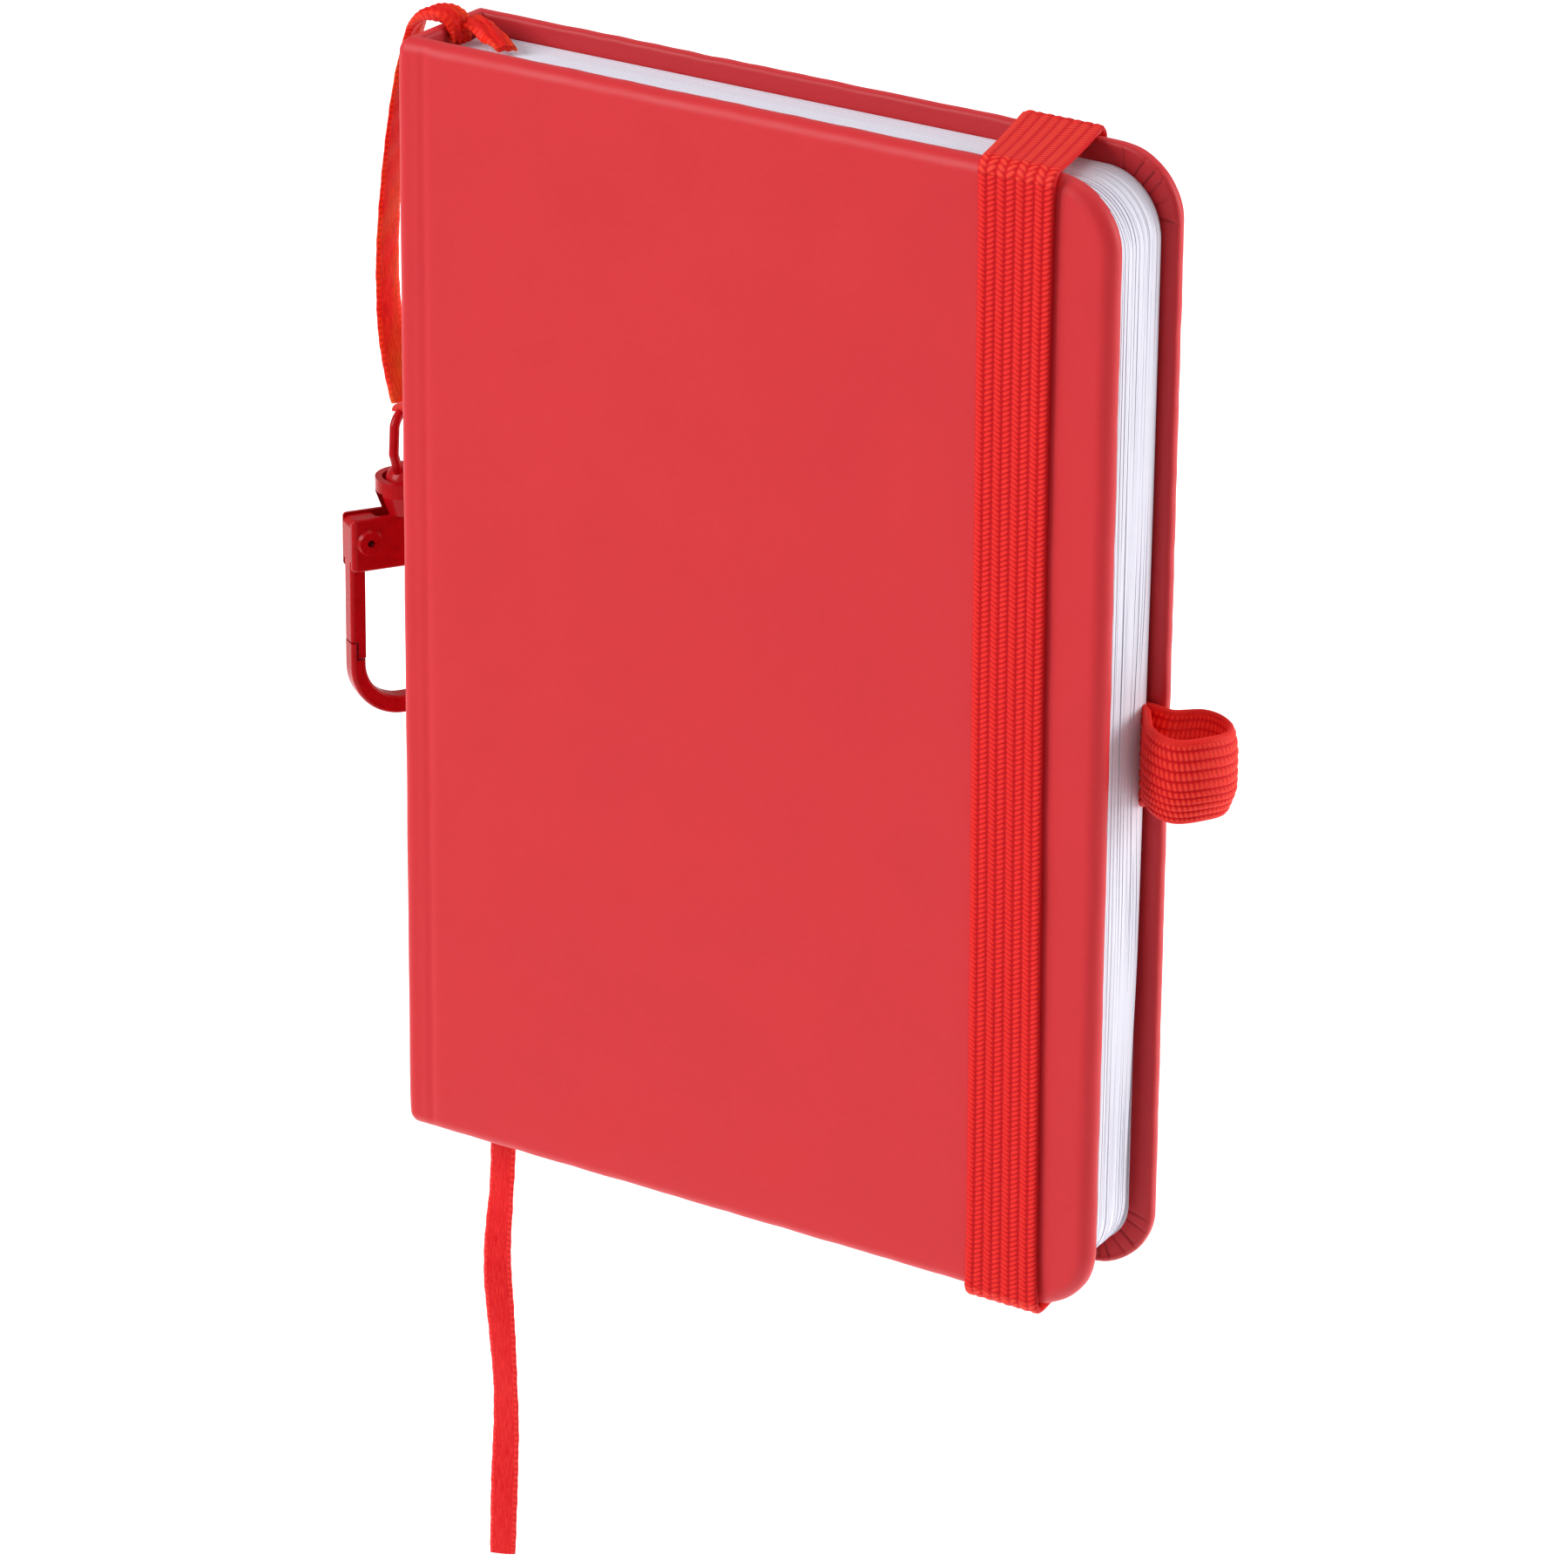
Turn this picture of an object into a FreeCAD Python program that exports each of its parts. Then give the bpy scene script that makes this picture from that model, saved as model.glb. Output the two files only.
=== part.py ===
import FreeCAD, Part
import os, math

# Pocket notebook, A6 case binding: hard covers in soft polyurethane skin, sewn
# page sections, elastic closure band, elastic pen loop, page ribbon, and a
# ribbon strap with a swivel snap hook hung over the head of the spine.
# Everything is drawn in "book" millimetres (x from the spine's outer face to
# the fore-edge, y from the front cover's outer face to the back cover's outer
# face, z from tail to head) and moved at export so that the origin is the
# middle of the back cover's outer face.

os.makedirs("parts", exist_ok=True)
V = FreeCAD.Vector

# ---- driving dimensions (mm) -------------------------------------------------
W = 104.0            # cover width, spine face to fore-edge
H = 148.0            # cover height
T = 18.0             # overall thickness over both covers
COVER_T = 2.7        # one finished cover
SKIN_T = 0.35        # polyurethane skin
BOARD_T = COVER_T - 2 * SKIN_T
CORNER_R = 9.0       # rounded fore-edge corners of the covers
EDGE_R = 1.05        # soft rounding of the outer cover edges
SHOULDER = 2.8       # where the covers start, from the spine face
TURN_IN = 12.0       # width of the skin turned in over the board
PAPER_T = 0.15       # endpapers

N_SECTIONS = 8
BLOCK_X0 = 3.3       # spine edge of the page block
BLOCK_X1 = 102.0     # fore-edge of the page block
BLOCK_Y0 = 3.0       # front of the page block
BLOCK_Y1 = 15.0      # back of the page block
BLOCK_Z0 = 2.7
BLOCK_Z1 = 145.3
PAGE_R = 8.0
SEC_T = (BLOCK_Y1 - BLOCK_Y0) / N_SECTIONS

SPINE_BOARD_T = 2.0
SPINE_GAP = 0.6      # spine board stops this far inside each outer face
LINING_T = 0.25

BAND_X0, BAND_X1 = 85.8, 96.2
BAND_T = 1.1
BAND_TAIL_Z = 14.0   # length of the band's tails down the back cover
SLIT_T = 1.2

LOOP_C = (109.3, 12.45)   # centre of the pen barrel in the loop
LOOP_R = 4.75             # inside radius of the loop
LOOP_T = 1.1
LOOP_Z0, LOOP_Z1 = 64.4, 77.4
LOOP_ROOT = (101.6, 15.95)

RIBBON_D = 1.3       # round section with the same area as the flat ribbon
BOOKMARK_X, BOOKMARK_Y = 9.3, 9.0
BOOKMARK_W = 4.2

HOOK_X, HOOK_Y = -9.2, 14.25      # vertical axis of the swivel
HOOK_TURN = 237.0                 # heading of the gate side about that axis
HOOK_HALF = 8.2                   # half width of the hook
BAR_W = 2.0                       # bar, in the hook's plane
BAR_T = 2.8                       # bar, across the plane
BLOCK_T = 4.4                     # fork block, across the plane
Z_HOOK_BOT = 51.6
Z_FORK0, Z_FORK1 = 72.3, 79.5
Z_RIM = 84.0
Z_EYE_TOP = 93.7
PIVOT = (5.85, 76.3)              # gate rivet in the hook's plane
RIVET_R = 0.95
RUN_FIT = 0.05                    # radial running clearance

SHIFT = V(-W / 2.0, -T, -H / 2.0)


def box(x0, x1, y0, y1, z0, z1):
    return Part.makeBox(x1 - x0, y1 - y0, z1 - z0, V(x0, y0, z0))


def cyl(r, h, p, d=V(0, 0, 1)):
    return Part.makeCylinder(r, h, p, d)


def plate(x0, x1, y0, y1, z0, z1, r):
    """Slab in the XZ plane with both fore-edge corners rounded."""
    s = box(x0, x1, y0, y1, z0, z1)
    edges = []
    for e in s.Edges:
        b = e.BoundBox
        if b.YLength > 0.9 * (y1 - y0) and b.XLength < 1e-6 and abs(b.XMin - x1) < 1e-6:
            edges.append(e)
    return s.makeFillet(r, edges)


def soften(s, r, test):
    edges = [e for e in s.Edges if test(e.BoundBox)]
    return s.makeFillet(r, edges)


def save(name, shape):
    shape = shape.copy()
    shape.translate(SHIFT)
    if not shape.isValid():
        print("INVALID", name)
    n = len(shape.Solids)
    print("%-24s solids %d volume %9.2f mm3" % (name, n, shape.Volume))
    if n == 1:
        shape = shape.Solids[0]
    shape.exportStep("parts/%s.step" % name)
    return shape


# ---- covers -----------------------------------------------------------------
def cover_pieces(front):
    """Board, wrapped skin and pasted endpaper of one cover."""
    if front:
        y = lambda d: d                 # depth d below the outer face
    else:
        y = lambda d: T - d
    lo = lambda a, b: (min(y(a), y(b)), max(y(a), y(b)))

    y0, y1 = lo(0, COVER_T)
    outer = plate(SHOULDER, W, y0, y1, 0, H, CORNER_R)
    yo, yi = y(0), y(COVER_T)
    outer = soften(outer, EDGE_R, lambda b: b.YLength < 1e-6 and abs(b.YMin - yo) < 1e-6
                   and not (b.XLength < 1e-6 and abs(b.XMin - SHOULDER) < 1e-6))
    outer = soften(outer, 0.6, lambda b: b.YLength < 1e-6 and abs(b.YMin - yi) < 1e-6
                   and not (b.XLength < 1e-6 and abs(b.XMin - SHOULDER) < 1e-6))
    b0, b1 = lo(SKIN_T, SKIN_T + BOARD_T)
    board = plate(SHOULDER + 1.2, W - SKIN_T, b0, b1, SKIN_T, H - SKIN_T, CORNER_R - SKIN_T)
    ybo = y(SKIN_T)
    board = soften(board, 0.6, lambda b: b.YLength < 1e-6 and abs(b.YMin - ybo) < 1e-6
                   and not (b.XLength < 1e-6 and abs(b.XMin - SHOULDER - 1.2) < 1e-6))
    w0, w1 = lo(COVER_T - SKIN_T, COVER_T + 0.01)
    window = box(SHOULDER - 0.1, W - TURN_IN, w0, w1, TURN_IN, H - TURN_IN)
    skin = outer.cut(board).cut(window)
    # groove pressed along the joint, outside
    g0, g1 = lo(-0.4, 0.13)
    groove = box(3.75, 4.35, g0, g1, -1, H + 1)
    skin = skin.cut(groove)
    # pasted endpaper: fills the window and laps over the turn-ins
    p0, p1 = lo(COVER_T - SKIN_T, COVER_T)
    q0, q1 = lo(COVER_T, COVER_T + PAPER_T)
    paste = box(SHOULDER + 0.3, W - TURN_IN, p0, p1, TURN_IN, H - TURN_IN)
    paste = paste.fuse(plate(SHOULDER + 0.3, W - 3.2, q0, q1, 3.2, H - 3.2, CORNER_R - 3.0)).removeSplitter()
    return board, skin, paste


front_board, front_skin, front_paste = cover_pieces(True)
back_board, back_skin, back_paste = cover_pieces(False)

# slits for the band's tails, and the bed of the pen loop's tab
slit_tops = box(BAND_X0 - 0.2, BAND_X1 + 0.2, T - COVER_T + 0.05, T + 0.1,
                H - BAND_TAIL_Z - SLIT_T, H - BAND_TAIL_Z)
slit_bots = box(BAND_X0 - 0.2, BAND_X1 + 0.2, T - COVER_T + 0.05, T + 0.1,
                BAND_TAIL_Z, BAND_TAIL_Z + SLIT_T)
back_skin = back_skin.cut(slit_tops).cut(slit_bots)
back_board = back_board.cut(slit_tops).cut(slit_bots)
back_paste = back_paste.cut(slit_tops).cut(slit_bots)
TAB_X0 = 92.3
TAB_Y0 = T - COVER_T + 0.02
TAB_Y1 = TAB_Y0 + 1.3
bed = box(TAB_X0 - 0.2, W + 1, T - COVER_T - 0.01, TAB_Y1 + 0.02, LOOP_Z0 - 0.1, LOOP_Z1 + 0.1)
back_board = back_board.cut(bed)
back_skin = back_skin.cut(bed)
back_paste = back_paste.cut(box(TAB_X0 - 0.2, W + 1, 14, T - COVER_T + 0.005,
                                LOOP_Z0 - 0.1, LOOP_Z1 + 0.1).cut(
    box(TAB_X0 - 1, LOOP_ROOT[0] - 3.3, 14, 16, 0, H)))

save("front_board", front_board)
save("front_cover_skin", front_skin)
save("front_endpaper", front_paste)
save("back_board", back_board)
save("back_cover_skin", back_skin)
save("back_endpaper", back_paste)

# ---- spine ------------------------------------------------------------------
spine_board = box(SKIN_T, SKIN_T + SPINE_BOARD_T, SPINE_GAP, T - SPINE_GAP, SKIN_T, H - SKIN_T)
sk = box(0, SHOULDER - 0.25, 0, T, 0, H)
sk = soften(sk, 0.9, lambda b: b.ZLength > H - 1 and b.XMin < 1e-6 and b.XLength < 1e-6)
# turned in over head and tail, open towards the page block
inner = box(SKIN_T, SHOULDER + 1, SKIN_T, T - SKIN_T, SKIN_T, H - SKIN_T)
turn = box(SKIN_T + SPINE_BOARD_T, SKIN_T + SPINE_BOARD_T + 0.2, SPINE_GAP, T - SPINE_GAP, SKIN_T, TURN_IN)
turn2 = turn.copy()
turn2.translate(V(0, 0, H - TURN_IN - SKIN_T))
spine_skin = sk.cut(inner).cut(box(SKIN_T + SPINE_BOARD_T + 0.2, 5, SKIN_T, T - SKIN_T, -1, H + 1))
spine_skin = spine_skin.fuse([turn, turn2]).cut(spine_board).removeSplitter()
save("spine_board", spine_board)
save("spine_skin", spine_skin)
spine_lining = box(SKIN_T + SPINE_BOARD_T, SKIN_T + SPINE_BOARD_T + LINING_T, 1.5, T - 1.5,
                   TURN_IN + 0.1, H - TURN_IN - 0.1)
save("spine_lining", spine_lining)

# ---- page block: folded and sewn sections, front to back ---------------------
for i in range(N_SECTIONS):
    ya = BLOCK_Y0 + i * SEC_T
    yb = ya + SEC_T
    s = plate(BLOCK_X0, BLOCK_X1, ya, yb, BLOCK_Z0, BLOCK_Z1, PAGE_R)
    if i == 4:
        # bed of the page ribbon
        s = s.cut(box(BOOKMARK_X - 2.3, BOOKMARK_X + 2.3, ya - 0.1, ya + 0.34, 0, H - 8))
    if i == N_SECTIONS - 1:
        # leaves pressed forward where the pen loop leaves the cover
        s = s.cut(box(96.5, W, yb - 0.9, yb + 0.1, LOOP_Z0 - 1.2, LOOP_Z1 + 1.2))
        s = s.cut(box(101.4, W, ya - 0.1, yb, LOOP_Z0 - 1.2, LOOP_Z1 + 1.2))
    save("section_%d" % (i + 1), s)

front_fly = plate(BLOCK_X0, BLOCK_X1 - 0.3, BLOCK_Y0 - 0.11, BLOCK_Y0, BLOCK_Z0, BLOCK_Z1, PAGE_R)
save("front_flyleaf", front_fly)
back_fly = plate(BLOCK_X0, BLOCK_X1 - 0.3, BLOCK_Y1, BLOCK_Y1 + 0.11, BLOCK_Z0, BLOCK_Z1, PAGE_R)
back_fly = back_fly.cut(box(96.5, W, 14, 16, LOOP_Z0 - 1.2, LOOP_Z1 + 1.2))
save("back_flyleaf", back_fly)

# ---- elastic closure band ----------------------------------------------------
band_front = box(BAND_X0, BAND_X1, -BAND_T, -0.02, 0.02, H - 0.02)
save("band_front_run", band_front)


def band_end(top):
    if top:
        run = box(BAND_X0, BAND_X1, -BAND_T, T + BAND_T, H + 0.02, H + BAND_T)
    else:
        run = box(BAND_X0, BAND_X1, -BAND_T, T + BAND_T, -BAND_T, -0.02)
    zc = H + BAND_T if top else -BAND_T
    return soften(run, 0.8, lambda b: b.XLength > 9 and abs(b.ZMin - zc) < 1e-6)


save("band_head_run", band_end(True))
save("band_tail_run", band_end(False))
tail_a = box(BAND_X0, BAND_X1, T + 0.02, T + BAND_T, H - BAND_TAIL_Z - SLIT_T + 0.1, H + 0.02)
tail_a = tail_a.fuse(box(BAND_X0, BAND_X1, T - COVER_T + 0.1, T + 0.1, H - BAND_TAIL_Z - SLIT_T + 0.1,
                         H - BAND_TAIL_Z - 0.1)).removeSplitter()
tail_b = box(BAND_X0, BAND_X1, T + 0.02, T + BAND_T, -0.02, BAND_TAIL_Z + SLIT_T - 0.1)
tail_b = tail_b.fuse(box(BAND_X0, BAND_X1, T - COVER_T + 0.1, T + 0.1, BAND_TAIL_Z + 0.1,
                         BAND_TAIL_Z + SLIT_T - 0.1)).removeSplitter()
save("band_anchors", Part.makeCompound([tail_a, tail_b]))

# ---- elastic pen loop ----------------------------------------------------------
cx, cy = LOOP_C
rx, ry = LOOP_ROOT
d = math.hypot(cx - rx, cy - ry)
RO = LOOP_R + LOOP_T
base = math.atan2(ry - cy, rx - cx)
hz = LOOP_Z1 - LOOP_Z0


def tangent_point(r, side):
    a = math.acos(r / d)
    t = base + side * a
    return V(cx + r * math.cos(t), cy + r * math.sin(t), LOOP_Z0)


def drop(r, dr):
    """Outline of a loop of radius r drawn in to the root."""
    p1, p2 = tangent_point(r, 1), tangent_point(r, -1)
    mid = V(cx - r * math.cos(base), cy - r * math.sin(base), LOOP_Z0)
    root = V(rx, ry, LOOP_Z0)
    w = Part.Wire([Part.LineSegment(root, p1).toShape(), Part.Arc(p1, mid, p2).toShape(),
                   Part.LineSegment(p2, root).toShape()])
    return Part.Face(w).extrude(V(0, 0, hz))


def drop_outer():
    ux, uy = math.cos(base), math.sin(base)     # from the barrel to the root
    r = RO
    # outer outline ends in a short neck instead of a point
    nx, ny = -uy, ux
    half = 0.62
    ra = V(rx + nx * half, ry + ny * half, LOOP_Z0)
    rb = V(rx - nx * half, ry - ny * half, LOOP_Z0)

    def tp(p, side):
        dd = math.hypot(p.x - cx, p.y - cy)
        b = math.atan2(p.y - cy, p.x - cx)
        t = b + side * math.acos(r / dd)
        return V(cx + r * math.cos(t), cy + r * math.sin(t), LOOP_Z0)
    s = 1 if math.sin(math.atan2(ra.y - cy, ra.x - cx) - base) > 0 else -1
    pa, pb = tp(ra, s), tp(rb, -s)
    mid = V(cx - r * math.cos(base), cy - r * math.sin(base), LOOP_Z0)
    w = Part.Wire([Part.LineSegment(ra, pa).toShape(), Part.Arc(pa, mid, pb).toShape(),
                   Part.LineSegment(pb, rb).toShape(), Part.LineSegment(rb, ra).toShape()])
    return Part.Face(w).extrude(V(0, 0, hz))


loop = drop_outer().cut(drop(LOOP_R, 0))
# the neck runs into the bed of the back cover
neck = box(LOOP_ROOT[0] - 3.0, LOOP_ROOT[0] + 0.35, TAB_Y0, TAB_Y1, LOOP_Z0, LOOP_Z1)
loop = loop.fuse(neck).removeSplitter()
loop = loop.cut(box(90, 120, TAB_Y1, 30, 0, LOOP_Z0 + 20).common(box(98, W + 0.05, TAB_Y1, T + 1, LOOP_Z0 - 1, LOOP_Z1 + 1)))
save("pen_loop", loop)
tab = box(TAB_X0, LOOP_ROOT[0] - 3.0, TAB_Y0, TAB_Y1, LOOP_Z0, LOOP_Z1)
save("pen_loop_tab", tab)


# ---- ribbons -------------------------------------------------------------------
def cord(points, dia, name):
    """Round tube along straight runs joined by tangent arcs."""
    pts = [V(*p) for p in points]
    edges = []
    start = pts[0]
    length = 0.0
    radii = []
    for k in range(1, len(pts) - 1):
        a, b, c = pts[k - 1], pts[k], pts[k + 1]
        u, v = (a - b), (c - b)
        la, lc = u.Length, v.Length
        u.normalize()
        v.normalize()
        turn = math.pi - math.acos(max(-1, min(1, u.dot(v))))
        cut = 0.45 * min(la, lc)
        r = cut / math.tan(turn / 2.0)
        radii.append(round(r, 2))
        p1 = b + u * cut
        p2 = b + v * cut
        bis = u + v
        bis.normalize()
        centre = b + bis * (r / math.cos(turn / 2.0))
        mid = centre - bis * r
        if (p1 - start).Length > 1e-6:
            edges.append(Part.LineSegment(start, p1).toShape())
        edges.append(Part.Arc(p1, mid, p2).toShape())
        start = p2
    edges.append(Part.LineSegment(start, pts[-1]).toShape())
    wire = Part.Wire(edges)
    length = wire.Length
    t0 = pts[1] - pts[0]
    t0.normalize()
    prof = Part.Wire([Part.makeCircle(dia / 2.0, pts[0], t0)])
    tube = wire.makePipeShell([prof], True, True, 2)
    if not tube.Solids:
        tube = Part.Solid(tube)
    print(name, "length %.1f mm, radii %s, volume/(section x length) %.4f"
          % (length, radii, tube.Volume / (math.pi * dia * dia / 4.0 * length)))
    return tube


# page ribbon: flat in its bed between the sections, then hanging free
mark_in = box(BOOKMARK_X - BOOKMARK_W / 2, BOOKMARK_X + BOOKMARK_W / 2, BOOKMARK_Y + 0.01,
              BOOKMARK_Y + 0.33, 0.8, H - 9)
save("bookmark_inner", mark_in)
BOOKMARK_PTS = [
    (9.3, 9.17, 0.8),
    (9.1, 9.1, -9.5),
    (8.2, 8.6, -20.5),
    (9.0, 8.9, -32.0),
    (9.4, 9.3, -43.5),
    (9.0, 9.1, -54.5),
    (8.9, 8.8, -65.2),
]
save("bookmark_ribbon", cord(BOOKMARK_PTS, RIBBON_D, "bookmark_ribbon"))

# strap: its root is glued in the hollow of the spine; it comes up over the
# head of the spine and down to the swivel's eye
strap_root = box(2.62, 2.94, 7.7, 11.5, 112.0, 146.6)
save("strap_root", strap_root)
STRAP_OVER_PTS = [
    (3.45, 9.6, 146.6),
    (3.7, 9.6, 149.3),
    (1.7, 9.6, 151.3),
    (-1.2, 9.7, 151.0),
    (-3.2, 9.8, 148.2),
    (-4.0, 9.856, 145.667),
]
save("strap_over", cord(STRAP_OVER_PTS, RIBBON_D, "strap_over"))
STRAP_HANG_PTS = [
    (-4.0, 9.856, 145.667),
    (-5.6, 9.968, 140.6),
    (-7.8, 10.9, 131.5),
    (-9.6, 11.8, 121.5),
    (-10.8, 12.7, 111.0),
    (-10.6, 13.5, 101.5),
    (-9.2, 14.25, 94.1),
]
save("strap_hang", cord(STRAP_HANG_PTS, RIBBON_D, "strap_hang"))
# the folded ends of the strap, lying on the heads of the pages
tail = box(3.2, 12.6, 3.3, 8.4, 145.45, 148.6)
tail = soften(tail, 1.3, lambda b: b.ZMin > 148.5 or b.ZLength > 3)
save("strap_tail", tail)

# ---- swivel snap hook ------------------------------------------------------------
WIRE_R = 0.65
EYE_HALF = 2.6
eye_top = Z_EYE_TOP - WIRE_R
E0 = V(HOOK_X, HOOK_Y, 0)


def place_hook(s):
    """Hook's own axes (x to the gate, y across, z up) to the book's."""
    s = s.copy()
    s.rotate(V(0, 0, 0), V(0, 0, 1), HOOK_TURN)
    s.translate(V(HOOK_X, HOOK_Y, 0))
    return s


# eye: a wire stirrup standing in the plane of the spine face, on a round button
zc = eye_top - 1.7
pts = [V(0, -1.5, 84.6), V(0, -EYE_HALF, 87.6), V(0, -EYE_HALF + 0.25, zc),
       V(0, -EYE_HALF + 1.0, eye_top - 0.35), V(0, 0, eye_top), V(0, EYE_HALF - 1.0, eye_top - 0.35),
       V(0, EYE_HALF - 0.25, zc), V(0, EYE_HALF, 87.6), V(0, 1.5, 84.6)]
w = Part.Wire([Part.LineSegment(pts[0], pts[1]).toShape(), Part.LineSegment(pts[1], pts[2]).toShape(),
               Part.Arc(pts[2], pts[4], pts[6]).toShape(),
               Part.LineSegment(pts[6], pts[7]).toShape(), Part.LineSegment(pts[7], pts[8]).toShape()])
eye = None
for a, b in ((0, 1), (1, 2), (6, 7), (7, 8)):
    d_ = pts[b] - pts[a]
    c_ = Part.makeCylinder(WIRE_R, d_.Length, pts[a], d_)
    eye = c_ if eye is None else eye.fuse(c_)
arc = Part.Arc(pts[2], pts[4], pts[6]).toShape()
tan = arc.tangentAt(arc.FirstParameter)
prof = Part.Wire([Part.makeCircle(WIRE_R, pts[2], tan)])
eye = eye.fuse(Part.Solid(Part.Wire([arc]).makePipeShell([prof], True, True, 2)))
for k in (1, 2, 6, 7):
    eye = eye.fuse(Part.makeSphere(WIRE_R, pts[k]))
button = Part.makeSphere(2.7, V(0, 0, 83.2)).common(Part.makeBox(8, 8, 3.2, V(-4, -4, 82.35)))
eye = eye.fuse(button).removeSplitter()
eye.translate(E0)
save("swivel_eye", eye)
# stud riveted through the crown of the hook, head under the crown
STUD_R = 1.2
CROWN_Z = 78.9
stud = cyl(STUD_R, 82.35 - CROWN_Z, V(0, 0, CROWN_Z))
stud = stud.fuse(cyl(1.75, 1.0, V(0, 0, CROWN_Z - 1.0)))
stud.translate(E0)
save("swivel_stud", stud)

# fold of the strap round the top of the eye
fold = Part.makeCylinder(WIRE_R + 0.55, 2.6, V(0, -1.3, eye_top - 0.1), V(0, 1, 0)).cut(
    Part.makeBox(6, 3.2, 6, V(-3, -1.6, eye_top - 0.1 - 6)))
fold.translate(E0)
fold = fold.cut(eye)
save("strap_fold", fold)

# hook body: cup, crown, fork, back bar and nose in one casting
cup = Part.makeCone(3.1, 4.0, 2.6, V(0, 0, Z_FORK1 - 0.1))
cup = cup.fuse(cyl(4.0, Z_RIM - Z_FORK1 - 2.5, V(0, 0, Z_FORK1 + 2.5)))
cup = cup.cut(cyl(3.1, 10, V(0, 0, 82.2)))
cup = cup.cut(Part.makeSphere(2.95, V(0, 0, 83.2)))
zb = Z_HOOK_BOT
R_OUT = HOOK_HALF
zc = zb + R_OUT * 0.95


def frame(out, zbot, zt, rr):
    """Outline of the hook's bow: flat sided, round bottom."""
    a = V(-out, 0, zt)
    b = V(-out, 0, zbot + rr)
    k = rr * (1 - math.sqrt(0.5))
    c = V(-out + k, 0, zbot + k)
    d1 = V(-out + rr, 0, zbot)
    e = V(out - rr, 0, zbot)
    f = V(out - k, 0, zbot + k)
    g = V(out, 0, zbot + rr)
    h = V(out, 0, zt)
    segs = [Part.LineSegment(a, b).toShape(), Part.Arc(b, c, d1).toShape()]
    if (e - d1).Length > 1e-4:
        segs.append(Part.LineSegment(d1, e).toShape())
    segs += [Part.Arc(e, f, g).toShape(), Part.LineSegment(g, h).toShape(), Part.LineSegment(h, a).toShape()]
    return Part.Face(Part.Wire(segs))


bow = frame(HOOK_HALF, zb, Z_FORK0 + 1, 7.2).extrude(V(0, BAR_T, 0))
bow_in = frame(HOOK_HALF - BAR_W, zb + 2.4, Z_FORK0, 5.2).extrude(V(0, BAR_T + 2, 0))
bow.translate(V(0, -BAR_T / 2, 0))
bow_in.translate(V(0, -BAR_T / 2 - 1, 0))
bow = bow.cut(bow_in)
bow = soften(bow, 0.55, lambda b: b.YLength < 1e-6 and b.ZMin < Z_FORK0 - 0.5)
# gate side: the bar is open from the nose lip up to the fork
LIP_Z, TONGUE_Z = 62.2, 59.9
gx0 = HOOK_HALF - BAR_W
bow = bow.cut(Part.makeBox(4, 6, 20, V(gx0 - 0.5, -3, LIP_Z)))
bow = bow.cut(Part.makeBox(1.35 + 0.5, 6, 20, V(gx0 - 0.5, -3, TONGUE_Z)))
block = Part.makeBox(2 * HOOK_HALF, BLOCK_T, Z_FORK1 - Z_FORK0, V(-HOOK_HALF, -BLOCK_T / 2, Z_FORK0))
block = soften(block, 0.7, lambda b: b.ZLength > 6)
block = soften(block, 0.5, lambda b: b.ZLength < 1e-6 and b.XLength > 10)
SLOT = 1.35
slot = Part.makeBox(10, 2 * SLOT, 12, V(1.9, -SLOT, Z_FORK0 - 2))
head_room = Part.makeBox(4.2, 4.2, 3.0, V(-2.1, -2.1, Z_FORK0 + 3.5))
head_room = head_room.cut(Part.makeBox(20, 20, 20, V(-10, -10, CROWN_Z)))
hook = block.fuse([cup, bow]).cut(slot)
hook = hook.cut(cyl(1.85, CROWN_Z - 75.9, V(0, 0, 75.9)))
hook = hook.cut(cyl(STUD_R + RUN_FIT, 12, V(0, 0, CROWN_Z - 1)))
hook = hook.cut(Part.makeBox(4.4, 3.7, 2.2, V(-0.2, -1.85, CROWN_Z - 3.0)).cut(
    Part.makeBox(10, 10, 10, V(1.9, -5, 60))))
# rivet hole through both cheeks
hook = hook.cut(cyl(RIVET_R + 0.0, 10, V(PIVOT[0], -5, PIVOT[1]), V(0, 1, 0)))
hook = hook.removeSplitter()
save("hook_body", place_hook(hook))

# rivet: hollow, with a rolled head on each cheek
rivet = cyl(RIVET_R, BLOCK_T + 0.9, V(PIVOT[0], -BLOCK_T / 2 - 0.45, PIVOT[1]), V(0, 1, 0))
for s_ in (-1, 1):
    hd = Part.makeCone(1.8 if s_ > 0 else 1.5, 1.5 if s_ > 0 else 1.8, 0.45,
                       V(PIVOT[0], BLOCK_T / 2 if s_ > 0 else -BLOCK_T / 2 - 0.45, PIVOT[1]), V(0, 1, 0))
    rivet = rivet.fuse(hd)
rivet = rivet.cut(cyl(0.5, 10, V(PIVOT[0], -5, PIVOT[1]), V(0, 1, 0))).removeSplitter()
save("gate_rivet", place_hook(rivet))

# gate: arm with a stepped toe, and a heel between the cheeks
GT = SLOT - 0.07
arm = Part.makeBox(BAR_W - 0.05, 2 * GT, 79.2 - LIP_Z - 0.25, V(gx0 + 0.05, -GT, LIP_Z + 0.25))
arm = soften(arm, 0.5, lambda b: b.ZLength > 10 and b.XMin > gx0 + 1)
toe = Part.makeBox(1.05, 2 * GT, 5.0, V(gx0 + 0.05, -GT, TONGUE_Z + 0.25))
heel = Part.makeBox(4.4, 2 * GT, 5.6, V(3.8, -GT, 73.6))
gate = arm.fuse([toe, heel])
gate = soften(gate.removeSplitter(), 0.9, lambda b: b.YLength > 2 and b.ZMin > 79.0 and b.XLength < 1e-6)
gate = gate.cut(cyl(RIVET_R + RUN_FIT, 10, V(PIVOT[0], -5, PIVOT[1]), V(0, 1, 0)))
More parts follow.
